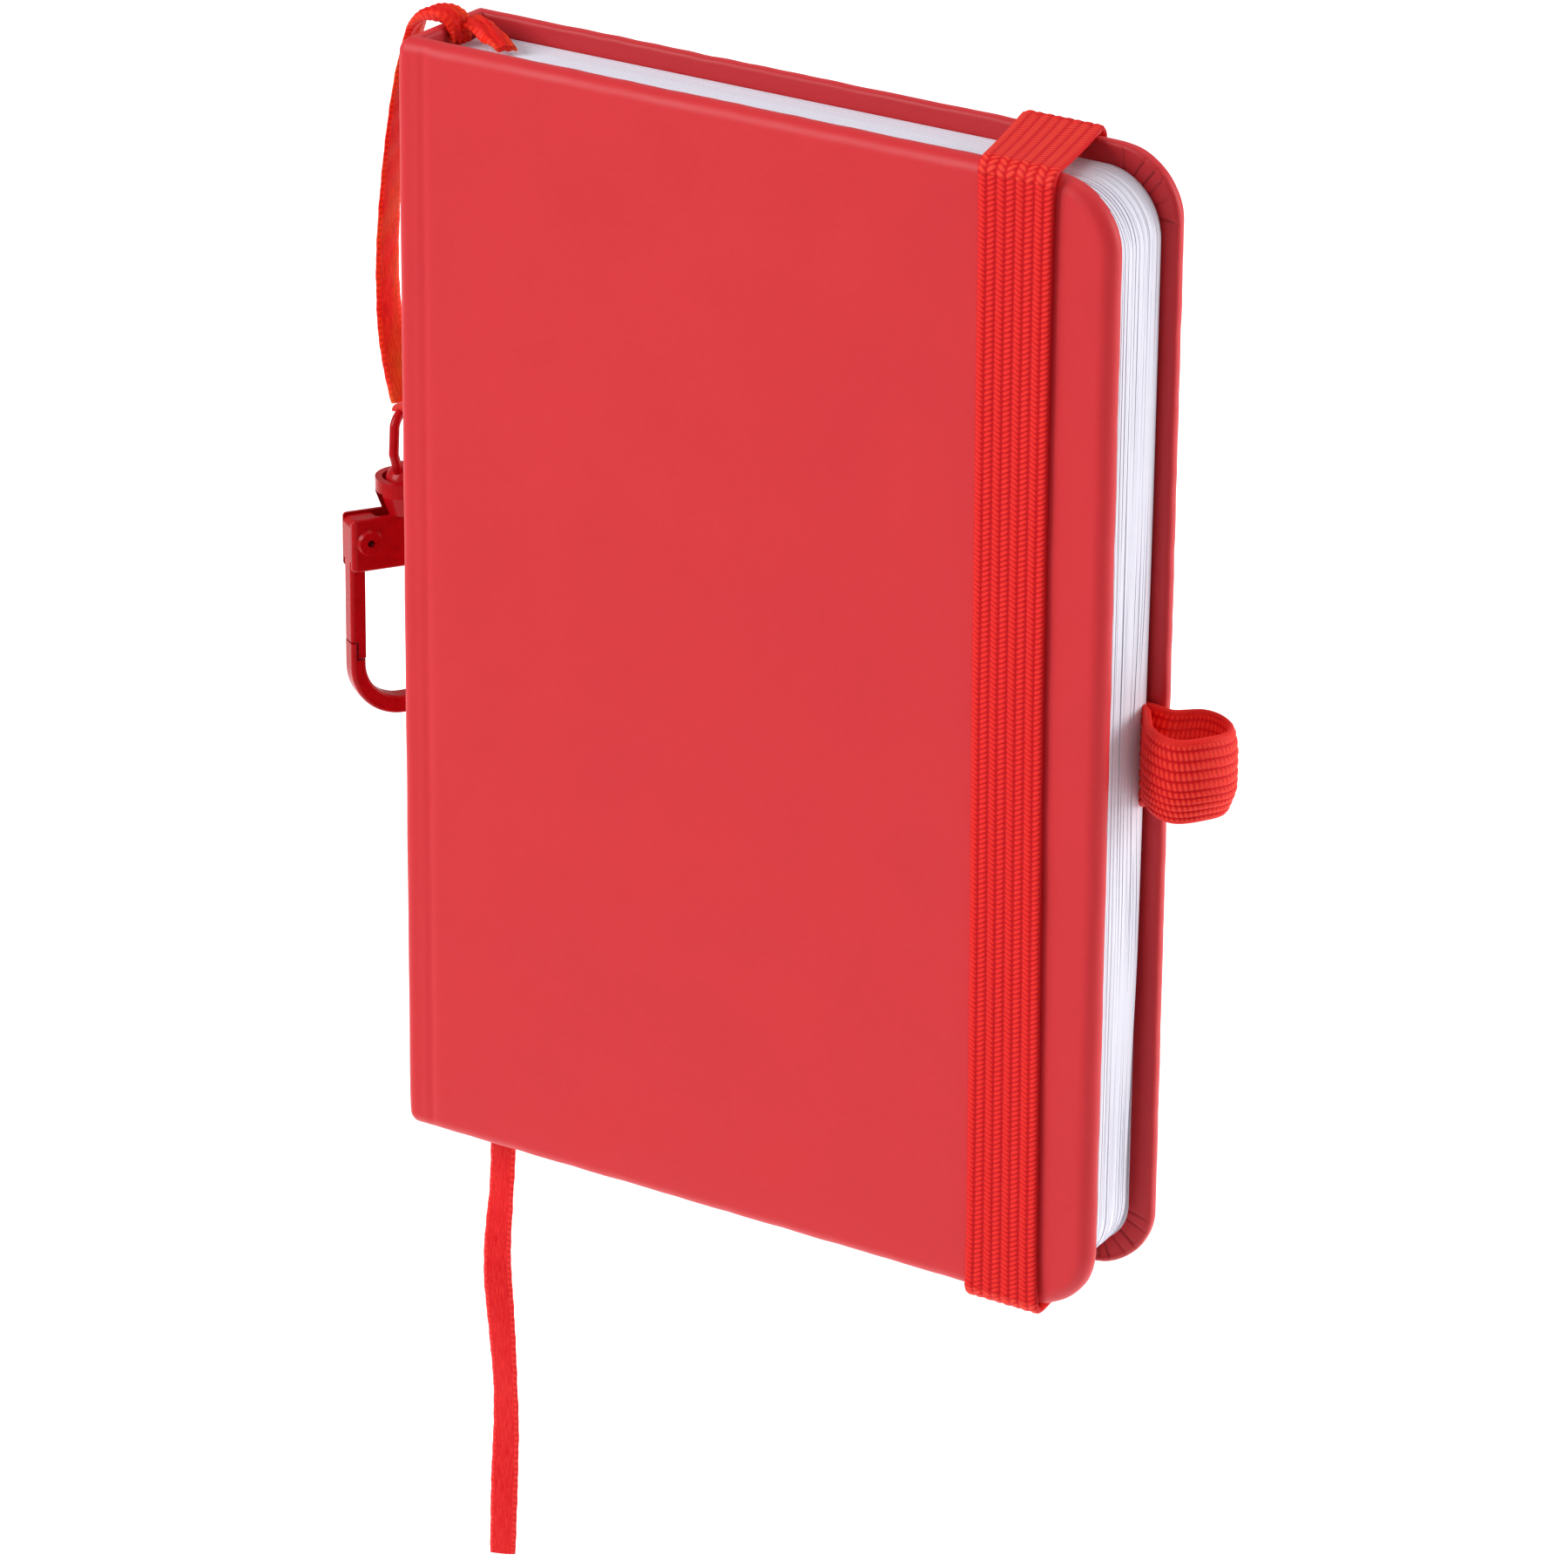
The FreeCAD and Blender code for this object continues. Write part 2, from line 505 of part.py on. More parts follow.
# pocket in the heel for the spring
gate = gate.cut(Part.makeBox(0.9, 4, 2.4, V(3.7, -2, 74.1)))
save("gate", place_hook(gate.removeSplitter()))
# spring: a small coil between the fork's web and the heel
spring = cyl(1.0, 2.6, V(2.0, 0, 75.2), V(1, 0, 0)).cut(cyl(0.6, 4, V(1.5, 0, 75.2), V(1, 0, 0)))
save("gate_spring", place_hook(spring))
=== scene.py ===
import math

import bpy
import numpy as np
from mathutils import Matrix, Vector


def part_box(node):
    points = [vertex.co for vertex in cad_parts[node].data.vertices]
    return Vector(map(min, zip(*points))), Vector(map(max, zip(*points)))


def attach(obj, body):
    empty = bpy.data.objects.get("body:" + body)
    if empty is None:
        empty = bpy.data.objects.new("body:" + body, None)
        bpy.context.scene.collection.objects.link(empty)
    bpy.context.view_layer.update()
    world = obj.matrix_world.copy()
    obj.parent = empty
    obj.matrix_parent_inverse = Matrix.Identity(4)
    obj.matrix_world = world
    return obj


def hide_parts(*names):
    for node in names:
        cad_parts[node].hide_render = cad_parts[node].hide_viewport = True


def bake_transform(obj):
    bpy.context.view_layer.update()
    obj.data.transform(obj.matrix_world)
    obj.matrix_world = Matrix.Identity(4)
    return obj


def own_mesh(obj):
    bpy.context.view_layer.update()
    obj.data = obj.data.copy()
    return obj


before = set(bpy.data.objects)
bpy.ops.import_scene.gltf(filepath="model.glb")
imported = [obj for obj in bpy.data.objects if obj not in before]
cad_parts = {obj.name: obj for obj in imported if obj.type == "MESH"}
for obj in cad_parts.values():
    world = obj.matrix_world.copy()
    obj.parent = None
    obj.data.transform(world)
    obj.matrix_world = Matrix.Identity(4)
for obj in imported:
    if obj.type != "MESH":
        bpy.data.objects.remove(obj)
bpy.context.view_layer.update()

# Book millimetres: x from the spine's outer face to the fore-edge, y from the
# front cover's outer face to the back cover's outer face, z from tail to head.
sp_lo, sp_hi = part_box("spine_skin")
fc_lo, fc_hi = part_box("front_cover_skin")
bc_lo, bc_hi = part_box("back_cover_skin")
ORIGIN = np.array([sp_lo.x, fc_lo.y, fc_lo.z])
W = (fc_hi.x - sp_lo.x) * 1000.0
H = (fc_hi.z - fc_lo.z) * 1000.0
T = (bc_hi.y - fc_lo.y) * 1000.0


def B(x, y, z):
    return Vector((ORIGIN[0] + x / 1000.0, ORIGIN[1] + y / 1000.0, ORIGIN[2] + z / 1000.0))


def smooth(a, b, x):
    t = np.clip((np.asarray(x, float) - a) / (b - a), 0, 1)
    return t * t * (3 - 2 * t)


# ---- camera -------------------------------------------------------------------
def make_camera():
    az, el, roll = math.radians(33.10), math.radians(22.65), math.radians(0.514)
    right = Vector((math.cos(az), math.sin(az), 0))
    back = Vector((math.sin(az) * math.cos(el), -math.cos(az) * math.cos(el), math.sin(el)))
    up = back.cross(right)
    r2 = math.cos(roll) * right + math.sin(roll) * up
    u2 = -math.sin(roll) * right + math.cos(roll) * up
    cam = bpy.data.cameras.new("camera")
    cam.sensor_width = 36.0
    cam.lens = 183.51
    cam.clip_start, cam.clip_end = 0.05, 50.0
    ob = bpy.data.objects.new("camera", cam)
    bpy.context.scene.collection.objects.link(ob)
    m = Matrix((r2, u2, back)).transposed().to_4x4()
    m.translation = B(558.6, -767.0, 443.9)
    ob.matrix_world = m
    bpy.context.scene.camera = ob
    return ob


camera = make_camera()


# ---- helpers ------------------------------------------------------------------
def link(ob):
    bpy.context.scene.collection.objects.link(ob)
    return ob


def mesh_piece(name, verts, faces, material, uv=None, smooth_shade=True, sharp=None):
    """verts in book mm; uv per vertex in mm."""
    co = np.asarray(verts, float) / 1000.0 + ORIGIN
    me = bpy.data.meshes.new(name)
    me.from_pydata([tuple(c) for c in co], [], [tuple(int(i) for i in f) for f in faces])
    me.update()
    if uv is not None:
        layer = me.uv_layers.new(name="cloth")
        idx = np.zeros(len(me.loops), np.int32)
        me.loops.foreach_get("vertex_index", idx)
        layer.data.foreach_set("uv", np.asarray(uv, np.float32)[idx].ravel())
    rest = me.attributes.new("rest_mm", "FLOAT_VECTOR", "POINT")
    rest.data.foreach_set("vector", np.asarray(verts, np.float32).ravel())
    if smooth_shade:
        me.shade_smooth()
    if sharp is not None:
        me.set_sharp_from_angle(angle=math.radians(sharp))
    ob = link(bpy.data.objects.new(name, me))
    if material is not None:
        me.materials.append(material)
    return ob


def grid_faces(n, m, closed_u=False, closed_v=False, flip=False, base=0):
    """Faces of an n x m grid of vertices, vertex (i, j) = base + i*m + j."""
    out = []
    for i in range(n if closed_u else n - 1):
        for j in range(m if closed_v else m - 1):
            a = base + i * m + j
            b = base + ((i + 1) % n) * m + j
            c = base + ((i + 1) % n) * m + (j + 1) % m
            d = base + i * m + (j + 1) % m
            out.append((a, d, c, b) if flip else (a, b, c, d))
    return out


def value_noise(p, seed=0):
    """Smooth repeatable noise in -1..1 of points p (n x k)."""
    rng = np.random.RandomState(seed)
    p = np.atleast_2d(np.asarray(p, float))
    out = np.zeros(len(p))
    for _ in range(7):
        k = rng.normal(size=p.shape[1]) * 1.0
        out += np.sin(p @ k * 2.2 + rng.uniform(0, 6.28))
    return out / 3.6


# ---- materials ----------------------------------------------------------------
class Mat:
    """Small builder of node materials."""

    def __init__(self, name, rough=0.5, spec=0.5, sheen=0.0, coat=0.0, coat_rough=0.2, metal=0.0, sheen_rough=0.5,
                 tint=(1, 1, 1)):
        self.m = bpy.data.materials.new(name)
        self.m.use_nodes = True
        self.t = self.m.node_tree
        self.t.nodes.clear()
        self.out = self.t.nodes.new("ShaderNodeOutputMaterial")
        self.b = self.t.nodes.new("ShaderNodeBsdfPrincipled")
        self.t.links.new(self.b.outputs[0], self.out.inputs[0])
        self.b.inputs["Roughness"].default_value = rough
        self.b.inputs["Specular IOR Level"].default_value = spec
        self.b.inputs["Sheen Weight"].default_value = sheen
        self.b.inputs["Sheen Roughness"].default_value = sheen_rough
        self.b.inputs["Sheen Tint"].default_value = (*tint, 1)
        self.b.inputs["Coat Weight"].default_value = coat
        self.b.inputs["Coat Roughness"].default_value = coat_rough
        self.b.inputs["Metallic"].default_value = metal

    def node(self, kind, **props):
        n = self.t.nodes.new(kind)
        for k, v in props.items():
            setattr(n, k, v)
        return n

    def link(self, a, b):
        self.t.links.new(a, b)

    def rest(self):
        n = self.node("ShaderNodeAttribute", attribute_type="GEOMETRY", attribute_name="rest_mm")
        return n.outputs["Vector"]

    def obj_mm(self):
        tc = self.node("ShaderNodeTexCoord")
        s = self.node("ShaderNodeVectorMath", operation="SCALE")
        self.link(tc.outputs["Object"], s.inputs[0])
        s.inputs["Scale"].default_value = 1000.0
        return s.outputs[0]

    def uv(self):
        n = self.node("ShaderNodeUVMap", uv_map="cloth")
        return n.outputs[0]

    def scaled(self, vec, s):
        n = self.node("ShaderNodeVectorMath", operation="MULTIPLY")
        self.link(vec, n.inputs[0])
        n.inputs[1].default_value = s
        return n.outputs[0]

    def noise(self, vec, scale, detail=2.0, rough=0.5):
        n = self.node("ShaderNodeTexNoise")
        self.link(vec, n.inputs["Vector"])
        n.inputs["Scale"].default_value = scale
        n.inputs["Detail"].default_value = detail
        n.inputs["Roughness"].default_value = rough
        return n.outputs["Fac"]

    def math(self, op, a, b=None, c=None, clamp=False):
        n = self.node("ShaderNodeMath", operation=op, use_clamp=clamp)
        for k, v in enumerate((a, b, c)):
            if v is None:
                continue
            if isinstance(v, (int, float)):
                n.inputs[k].default_value = v
            else:
                self.link(v, n.inputs[k])
        return n.outputs[0]

    def sep(self, vec):
        n = self.node("ShaderNodeSeparateXYZ")
        self.link(vec, n.inputs[0])
        return n.outputs

    def ramp(self, fac, stops):
        n = self.node("ShaderNodeValToRGB")
        r = n.color_ramp
        while len(r.elements) > 2:
            r.elements.remove(r.elements[-1])
        for k, (p, c) in enumerate(stops):
            e = r.elements[k] if k < 2 else r.elements.new(p)
            e.position = p
            e.color = (*c, 1) if len(c) == 3 else c
        self.link(fac, n.inputs[0])
        return n.outputs[0]

    def mapr(self, v, a, b, c, d):
        n = self.node("ShaderNodeMapRange")
        n.clamp = True
        self.link(v, n.inputs[0])
        for k, x in enumerate((a, b, c, d)):
            n.inputs[1 + k].default_value = x
        return n.outputs[0]

    def bump(self, height, strength=0.3, dist_mm=0.1, normal=None):
        n = self.node("ShaderNodeBump")
        n.inputs["Strength"].default_value = strength
        n.inputs["Distance"].default_value = dist_mm / 1000.0
        self.link(height, n.inputs["Height"])
        if normal is not None:
            self.link(normal, n.inputs["Normal"])
        self.link(n.outputs[0], self.b.inputs["Normal"])
        return n.outputs[0]

    def colour(self, c):
        self.link(c, self.b.inputs["Base Color"])


def lin(hexa):
    v = [int(hexa[i:i + 2], 16) / 255.0 for i in (0, 2, 4)]
    return tuple(x / 12.92 if x <= 0.04045 else ((x + 0.055) / 1.055) ** 2.4 for x in v)


def scale_c(c, k):
    return tuple(min(1.0, x * k) for x in c)


def cover_material(name, base):
    """Soft-touch polyurethane skin: fine pressed grain and faint mottling; the fold attribute mixes in painted shade
    along the corner creases and over the turned-in inside.
    """
    m = Mat(name, rough=0.5, spec=0.36, sheen=0.07, sheen_rough=0.5, tint=(1.0, 0.6, 0.6))
    p = m.rest()
    grain = m.noise(p, 5.5, 3.0, 0.6)
    fibre = m.noise(m.scaled(p, (1.6, 1.6, 0.35)), 3.2, 2.0, 0.5)
    mott = m.noise(p, 0.055, 4.0, 0.55)
    spots = m.noise(p, 0.9, 2.0, 0.5)
    mix = m.math("ADD", m.math("MULTIPLY", mott, 0.7), m.math("MULTIPLY", spots, 0.3))
    body = m.ramp(mix, [(0.30, scale_c(base, 0.965)), (0.52, base), (0.72, scale_c(base, 1.03))])
    # painted shade: the fold attribute darkens the colour towards a deep red in the corner creases and on the turned-in
    # inside
    fold = m.node("ShaderNodeAttribute", attribute_type="GEOMETRY", attribute_name="fold").outputs["Fac"]
    painted_shade_mix = m.node("ShaderNodeMix", data_type="RGBA")
    m.link(fold, painted_shade_mix.inputs["Factor"])
    m.link(body, painted_shade_mix.inputs[6])
    painted_shade_mix.inputs[7].default_value = (base[0] * 0.22, base[1] * 0.15, base[2] * 0.2, 1)
    m.colour(painted_shade_mix.outputs[2])
    m.link(m.mapr(m.math("ADD", m.math("MULTIPLY", mott, 0.6), m.math("MULTIPLY", grain, 0.4)), 0.3, 0.7, 0.44, 0.58),
           m.b.inputs["Roughness"])
    b1 = m.bump(grain, 0.10, 0.05)
    m.bump(fibre, 0.08, 0.08, b1)
    return m.m


def webbing_material(name, bright, deep, pitch, rib, edge_mm, width, chevron=True):
    """Knitted elastic: ribs along u, slanting stitches along v. The uv map is (along, across) in mm."""
    m = Mat(name, rough=0.6, spec=0.20, sheen=0.05, sheen_rough=0.4, tint=(1.0, 0.35, 0.25))
    uv = m.uv()
    u, v, _ = m.sep(uv)
    r = m.math("DIVIDE", v, rib)
    k = m.math("FLOOR", r)
    f = m.math("SUBTRACT", m.math("SUBTRACT", r, k), 0.5)
    af = m.math("ABSOLUTE", f)
    ridge = m.math("COSINE", m.math("MULTIPLY", f, math.pi))
    odd = m.math("SUBTRACT", m.math("MULTIPLY", m.math("MODULO", k, 2.0), 2.0), 1.0)
    wob = m.noise(m.scaled(uv, (0.5, 0.8, 0)), 1.0, 2.0)
    slant = m.math("MULTIPLY", f, m.math("MULTIPLY", odd, 0.9)) if chevron else m.math("MULTIPLY", f, 0.30)
    phase = m.math("ADD", m.math("ADD", m.math("DIVIDE", u, pitch), slant),
                   m.math("ADD", m.math("MULTIPLY", k, 0.37), m.math("MULTIPLY", wob, 0.5)))
    stitch = m.math("MULTIPLY_ADD", m.math("SINE", m.math("MULTIPLY", phase, 2 * math.pi)), 0.5, 0.5)
    h = m.math("MULTIPLY", m.math("POWER", m.math("MAXIMUM", ridge, 0.0), 0.6),
               m.math("MULTIPLY_ADD", stitch, 0.62, 0.38))
    yarn = m.noise(m.scaled(uv, (6.0, 14.0, 0)), 1.0, 2.0)
    h2 = m.math("ADD", h, m.math("MULTIPLY", yarn, 0.28))
    if edge_mm > 0:
        # plain selvedges
        e = m.math("MINIMUM", v, m.math("SUBTRACT", width, v))
        sel = m.mapr(e, edge_mm * 0.8, edge_mm, 1.0, 0.0)
        fuzz = m.math("MULTIPLY_ADD", m.noise(m.scaled(uv, (3.5, 9.0, 0)), 1.0, 3.0), 0.55, 0.35)
        h2 = m.math("ADD", m.math("MULTIPLY", h2, m.math("SUBTRACT", 1.0, sel)), m.math("MULTIPLY", sel, fuzz))
    # painted shade and highlight: the colour follows the knit's height, darker in the gaps between ribs and stitches,
    # lighter on the raised knots
    m.colour(m.ramp(h2, [(0.10, scale_c(deep, 0.9)), (0.45, deep), (0.90, bright)]))
    m.bump(h2, 0.45, 0.16)
    return m.m


def satin_material(name, bright, deep, width, painted_gloss=None):
    """Woven satin ribbon: long floats in the middle, beaded selvedges. uv = (along, across) mm."""
    m = Mat(name, rough=0.45, spec=0.14, sheen=0.02, sheen_rough=0.35, tint=(1.0, 0.4, 0.2))
    uv = m.uv()
    u, v, _ = m.sep(uv)
    floats = m.noise(m.scaled(uv, (0.55, 7.0, 0)), 1.0, 3.0, 0.6)
    fine = m.noise(m.scaled(uv, (3.0, 16.0, 0)), 1.0, 2.0)
    e = m.math("MINIMUM", v, m.math("SUBTRACT", width, v))
    sel = m.mapr(e, 0.42, 0.62, 1.0, 0.0)
    beads = m.math("MULTIPLY_ADD", m.math("SINE", m.math("MULTIPLY", u, 2 * math.pi / 0.85)), 0.5, 0.5)
    body = m.math("ADD", m.math("MULTIPLY", floats, 0.7), m.math("MULTIPLY", fine, 0.3))
    body = m.mapr(body, 0.34, 0.66, 0.0, 0.72)
    h = m.math("ADD", m.math("MULTIPLY", body, m.math("SUBTRACT", 1.0, sel)),
               m.math("MULTIPLY", sel, m.math("MULTIPLY_ADD", beads, 0.50, 0.42)))
    # painted highlight and shade: the colour follows the weave's height, lighter on the raised floats and beads, darker
    # in the low weave
    col = m.ramp(h, [(0.22, deep), (0.5, tuple((a + b) / 2 for a, b in zip(bright, deep))), (0.85, bright)])
    # painted highlight: orange gloss patches mixed in where a large, slow noise is high
    if painted_gloss is not None:
        painted_gloss_ramp = m.ramp(h, [(0.22, scale_c(painted_gloss, 0.55)), (0.6, scale_c(painted_gloss, 0.85)), (0.9, painted_gloss)])
        where = m.mapr(m.noise(m.scaled(uv, (0.085, 0.25, 0)), 1.0, 2.0), 0.46, 0.66, 0.0, 0.7)
        mx = m.node("ShaderNodeMix", data_type="RGBA")
        m.link(where, mx.inputs["Factor"])
        m.link(col, mx.inputs[6])
        m.link(painted_gloss_ramp, mx.inputs[7])
        col = mx.outputs[2]
    m.colour(col)
    m.bump(h, 0.5, 0.12)
    m.link(m.mapr(floats, 0.3, 0.7, 0.38, 0.55), m.b.inputs["Roughness"])
    return m.m


def paper_material(name, base, edges):
    """Paper; edges draws the leaves as fine lines across the block's thickness."""
    m = Mat(name, rough=0.78, spec=0.25, sheen=0.05)
    p = m.obj_mm()
    fibre = m.noise(p, 3.0, 4.0, 0.6)
    if edges:
        leaves = m.noise(m.scaled(p, (0.02, 9.0, 0.012)), 1.0, 3.0, 0.65)
        groups = m.noise(m.scaled(p, (0.01, 1.6, 0.008)), 1.0, 2.0, 0.5)
        h = m.math("ADD", m.math("MULTIPLY", leaves, 0.6), m.math("MULTIPLY", groups, 0.4))
        # painted shade: darker lines between the leaves and between groups of leaves
        m.colour(m.ramp(h, [(0.28, scale_c(base, 0.80)), (0.42, scale_c(base, 0.95)), (0.6, base)]))
        b = m.bump(leaves, 0.35, 0.05)
        m.bump(fibre, 0.06, 0.02, b)
    else:
        m.colour(m.ramp(fibre, [(0.3, scale_c(base, 0.97)), (0.7, base)]))
        m.bump(fibre, 0.10, 0.02)
    return m.m


def enamel_material(name, base):
    """Thick gloss enamel over a die casting: orange peel, pale rub marks, dust in the paint."""
    m = Mat(name, rough=0.24, spec=0.14, coat=0.06, coat_rough=0.1)
    p = m.obj_mm()
    peel = m.noise(p, 1.8, 2.0, 0.5)
    fine = m.noise(p, 9.0, 3.0, 0.6)
    wear = m.noise(p, 0.7, 4.0, 0.7)
    m.colour(m.ramp(wear, [(0.25, scale_c(base, 0.82)), (0.5, base), (0.74, scale_c(base, 1.12)),
                           (0.80, tuple(0.75 * a + 0.25 * 0.6 for a in base))]))
    m.link(m.mapr(fine, 0.3, 0.75, 0.18, 0.36), m.b.inputs["Roughness"])
    b = m.bump(peel, 0.18, 0.12)
    m.bump(fine, 0.08, 0.03, b)
    return m.m


def steel_material(name):
    m = Mat(name, rough=0.3, spec=0.5, metal=1.0)
    p = m.obj_mm()
    n = m.noise(m.scaled(p, (1, 1, 6)), 3.0, 3.0)
    m.colour(m.ramp(n, [(0.3, (0.42, 0.42, 0.44)), (0.7, (0.62, 0.62, 0.64))]))
    m.bump(n, 0.1, 0.02)
    return m.m


def board_material(name):
    m = Mat(name, rough=0.85, spec=0.2)
    p = m.obj_mm()
    n = m.noise(p, 2.5, 5.0, 0.7)
    m.colour(m.ramp(n, [(0.3, (0.20, 0.18, 0.16)), (0.7, (0.36, 0.34, 0.30))]))
    m.bump(n, 0.3, 0.05)
    return m.m


RED = (0.690, 0.0220, 0.0305)
M_SKIN = cover_material("cover_skin", RED)
M_BAND = webbing_material("elastic_band", lin("FA2C26"), lin("CA000E"), 0.66, 1.3, 0.0, 10.4)
# lighter copy of the band's colours for the runs over the head and tail: painted highlight of the top light
M_BAND_PAINTED_LIT = webbing_material("elastic_band_painted_lit", lin("FF4434"), lin("DC0814"), 0.66, 1.3, 0.0, 10.4)
# the loop's colours are brighter than the band's: painted light to offset the shade on the loop
M_LOOP = webbing_material("elastic_loop", lin("FF3E2E"), lin("E20612"), 0.62, 1.3, 0.75, 13.0, chevron=False)
M_SATIN = satin_material("satin_ribbon", lin("FF3A36"), lin("E00212"), 4.1)
# the strap's orange patches are painted gloss highlights
M_STRAP = satin_material("satin_strap", lin("FF3420"), lin("D80208"), 3.7, painted_gloss=lin("FF6E28"))
M_PAPER = paper_material("paper", lin("ECECF8"), False)
M_EDGES = paper_material("paper_edges", lin("EEEEFA"), True)
M_ENAMEL = enamel_material("red_enamel", lin("B40A14"))
M_STEEL = steel_material("spring_steel")
M_BOARD = board_material("greyboard")


# ---- ribbons: centre line from the route's own NURBS spline -------------------
def spline_points(name, pts, res=24):
    cu = bpy.data.curves.new(name, "CURVE")
    cu.dimensions = "3D"
    cu.resolution_u = res
    s = cu.splines.new("NURBS")
    s.points.add(len(pts) - 1)
    for k, q in enumerate(pts):
        s.points[k].co = (*B(*q), 1.0)
    s.order_u = 3
    s.use_endpoint_u = True
    ob = link(bpy.data.objects.new(name, cu))
    bpy.context.view_layer.update()
    me = bpy.data.meshes.new_from_object(ob.evaluated_get(bpy.context.evaluated_depsgraph_get()))
    co = np.array([v.co[:] for v in me.vertices])
    bpy.data.objects.remove(ob)
    bpy.data.meshes.remove(me)
    return (co - ORIGIN) * 1000.0


def even(path, step):
    """The same line with points a step apart."""
    d = np.r_[0, np.cumsum(np.linalg.norm(np.diff(path, axis=0), axis=1))]
    n = max(2, int(round(d[-1] / step)) + 1)
    s = np.linspace(0, d[-1], n)
    return np.c_[np.interp(s, d, path[:, 0]), np.interp(s, d, path[:, 1]), np.interp(s, d, path[:, 2])], s


def ribbon(name, path, s, across, width, thick, material, cut=0.0, cup=0.0, edge_bead=0.05, ripple=0.03, across_n=15,
           seed=3, wid=None, bunch=None):
    """Flat woven ribbon along path; across is the unit width direction at each point (n x 3)."""
    tang = np.gradient(path, axis=0)
    tang /= np.linalg.norm(tang, axis=1)[:, None]
    across = across - (across * tang).sum(1)[:, None] * tang
    across /= np.linalg.norm(across, axis=1)[:, None]
    nrm = np.cross(tang, across)
    us = np.linspace(-0.5, 0.5, across_n)
    ring = [(x, 1) for x in us] + [(x, -1) for x in us[::-1]]
    verts, uvs = [], []
    n, m = len(path), len(ring)
    for i in range(n):
        wob = 1 + 0.012 * math.sin(s[i] * 2.6 + seed) + 0.008 * math.sin(s[i] * 7.1)
        if wid is not None:
            wob *= wid[i] / width
        bun = 0.0 if bunch is None else bunch[i]
        for (x, side) in ring:
            e = 0.5 - abs(x)
            bead = edge_bead * math.exp(-((e * width - 0.28) / 0.2) ** 2) * (0.7 + 0.3 * math.sin(s[i] * 2 * math.pi / 0.85))
            tt = thick / 2 * (1 - (abs(x) * 2) ** 8 * 0.75) + bead
            dz = cup * (1 - (2 * x) ** 2) + ripple * math.sin(s[i] * 1.3 + x * 5 + seed)
            dz += bun * (0.26 * math.sin(x * 15.5 + s[i] * 0.9) + 0.07 * math.sin(x * 9 - s[i] * 6.5)) + bun * 0.5 * (0.25 - x * x)
            tt += bun * (0.42 * (1 - (2 * abs(x)) ** 3) + 0.08)
            ds = 0.0
            if cut:
                ds = cut * (x + 0.5) * float(smooth(s[-1] - 3.0, s[-1], s[i]))
            q = path[i] + across[i] * (x * width * wob) + nrm[i] * (tt * side + dz) + tang[i] * ds
            verts.append(q)
            uvs.append((s[i], (x + 0.5) * width))
    faces = grid_faces(n, m, closed_v=True, flip=True)
    faces.append(tuple(range(m)))
    faces.append(tuple((n - 1) * m + k for k in range(m))[::-1])
    return mesh_piece(name, verts, faces, material, uv=uvs)


# page ribbon: the free length below the block
MARK_PTS = [
    (9.3, 9.17, 0.8),
    (9.1, 9.1, -9.5),
    (8.2, 8.6, -20.5),
    (9.0, 8.9, -32.0),
    (9.4, 9.3, -43.5),
    (9.0, 9.1, -54.5),
    (8.9, 8.8, -65.2),
]
mark_path, mark_s = even(spline_points("mark_route", MARK_PTS), 0.4)
tw = np.radians(np.interp(mark_s, [0, 12, 26, 40, 55, 67], [0, -6, 12, -4, 6, 0]))
mark_across = np.c_[np.cos(tw), np.sin(tw), np.zeros_like(tw)]
page_ribbon = ribbon("page_ribbon", mark_path, mark_s, mark_across, 4.1, 0.34, M_SATIN, cut=-0.9, cup=0.10, edge_bead=0.11)
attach(page_ribbon, "leaves_5")
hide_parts("bookmark_ribbon")

# strap: out of the hollow of the spine, over its head and down to the swivel's eye
OVER_PTS = [
    (3.45, 9.6, 146.6),
    (3.7, 9.6, 149.3),
    (1.7, 9.6, 151.3),
    (-1.2, 9.7, 151.0),
    (-3.2, 9.8, 148.2),
    (-4.0, 9.856, 145.667),
]
HANG_PTS = [
    (-5.6, 9.968, 140.6),
    (-7.8, 10.9, 131.5),
    (-9.6, 11.8, 121.5),
    (-10.8, 12.7, 111.0),
    (-10.6, 13.5, 101.5),
    (-9.2, 14.25, 94.1),
]
strap_path, strap_s = even(spline_points("strap_route", OVER_PTS + HANG_PTS), 0.3)
tws = np.radians(np.interp(strap_s, [0, 10, 20, 36, 52, 60, 68], [90, 88, 84, 80, 72, 50, 20]))
strap_across = np.c_[np.cos(tws), np.sin(tws), np.zeros_like(tws)]
arch = np.exp(-((strap_s - 6.5) / 5.0) ** 2)
strap_line = strap_path.copy()
strap_line[:, 2] -= 1.9 * arch
strap_line[:, 1] -= 0.6 * arch
strap_wid = 3.7 + 0.6 * np.exp(-((strap_s - 5.0) / 6.0) ** 2)
strap = ribbon("strap_ribbon", strap_line, strap_s, strap_across, 3.7, 0.36, M_STRAP, cup=0.12, seed=1, wid=strap_wid,
               bunch=np.exp(-((strap_s - 5.0) / 6.5) ** 2), across_n=25)
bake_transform(strap)
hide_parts("strap_over", "strap_hang")


# ---- covers ---------------------------------------------------------------------
R0 = 1.55                 # rounding of the book's long corners at the spine
CORNER = 9.0
THICK = 2.7
MID = T / 2.0


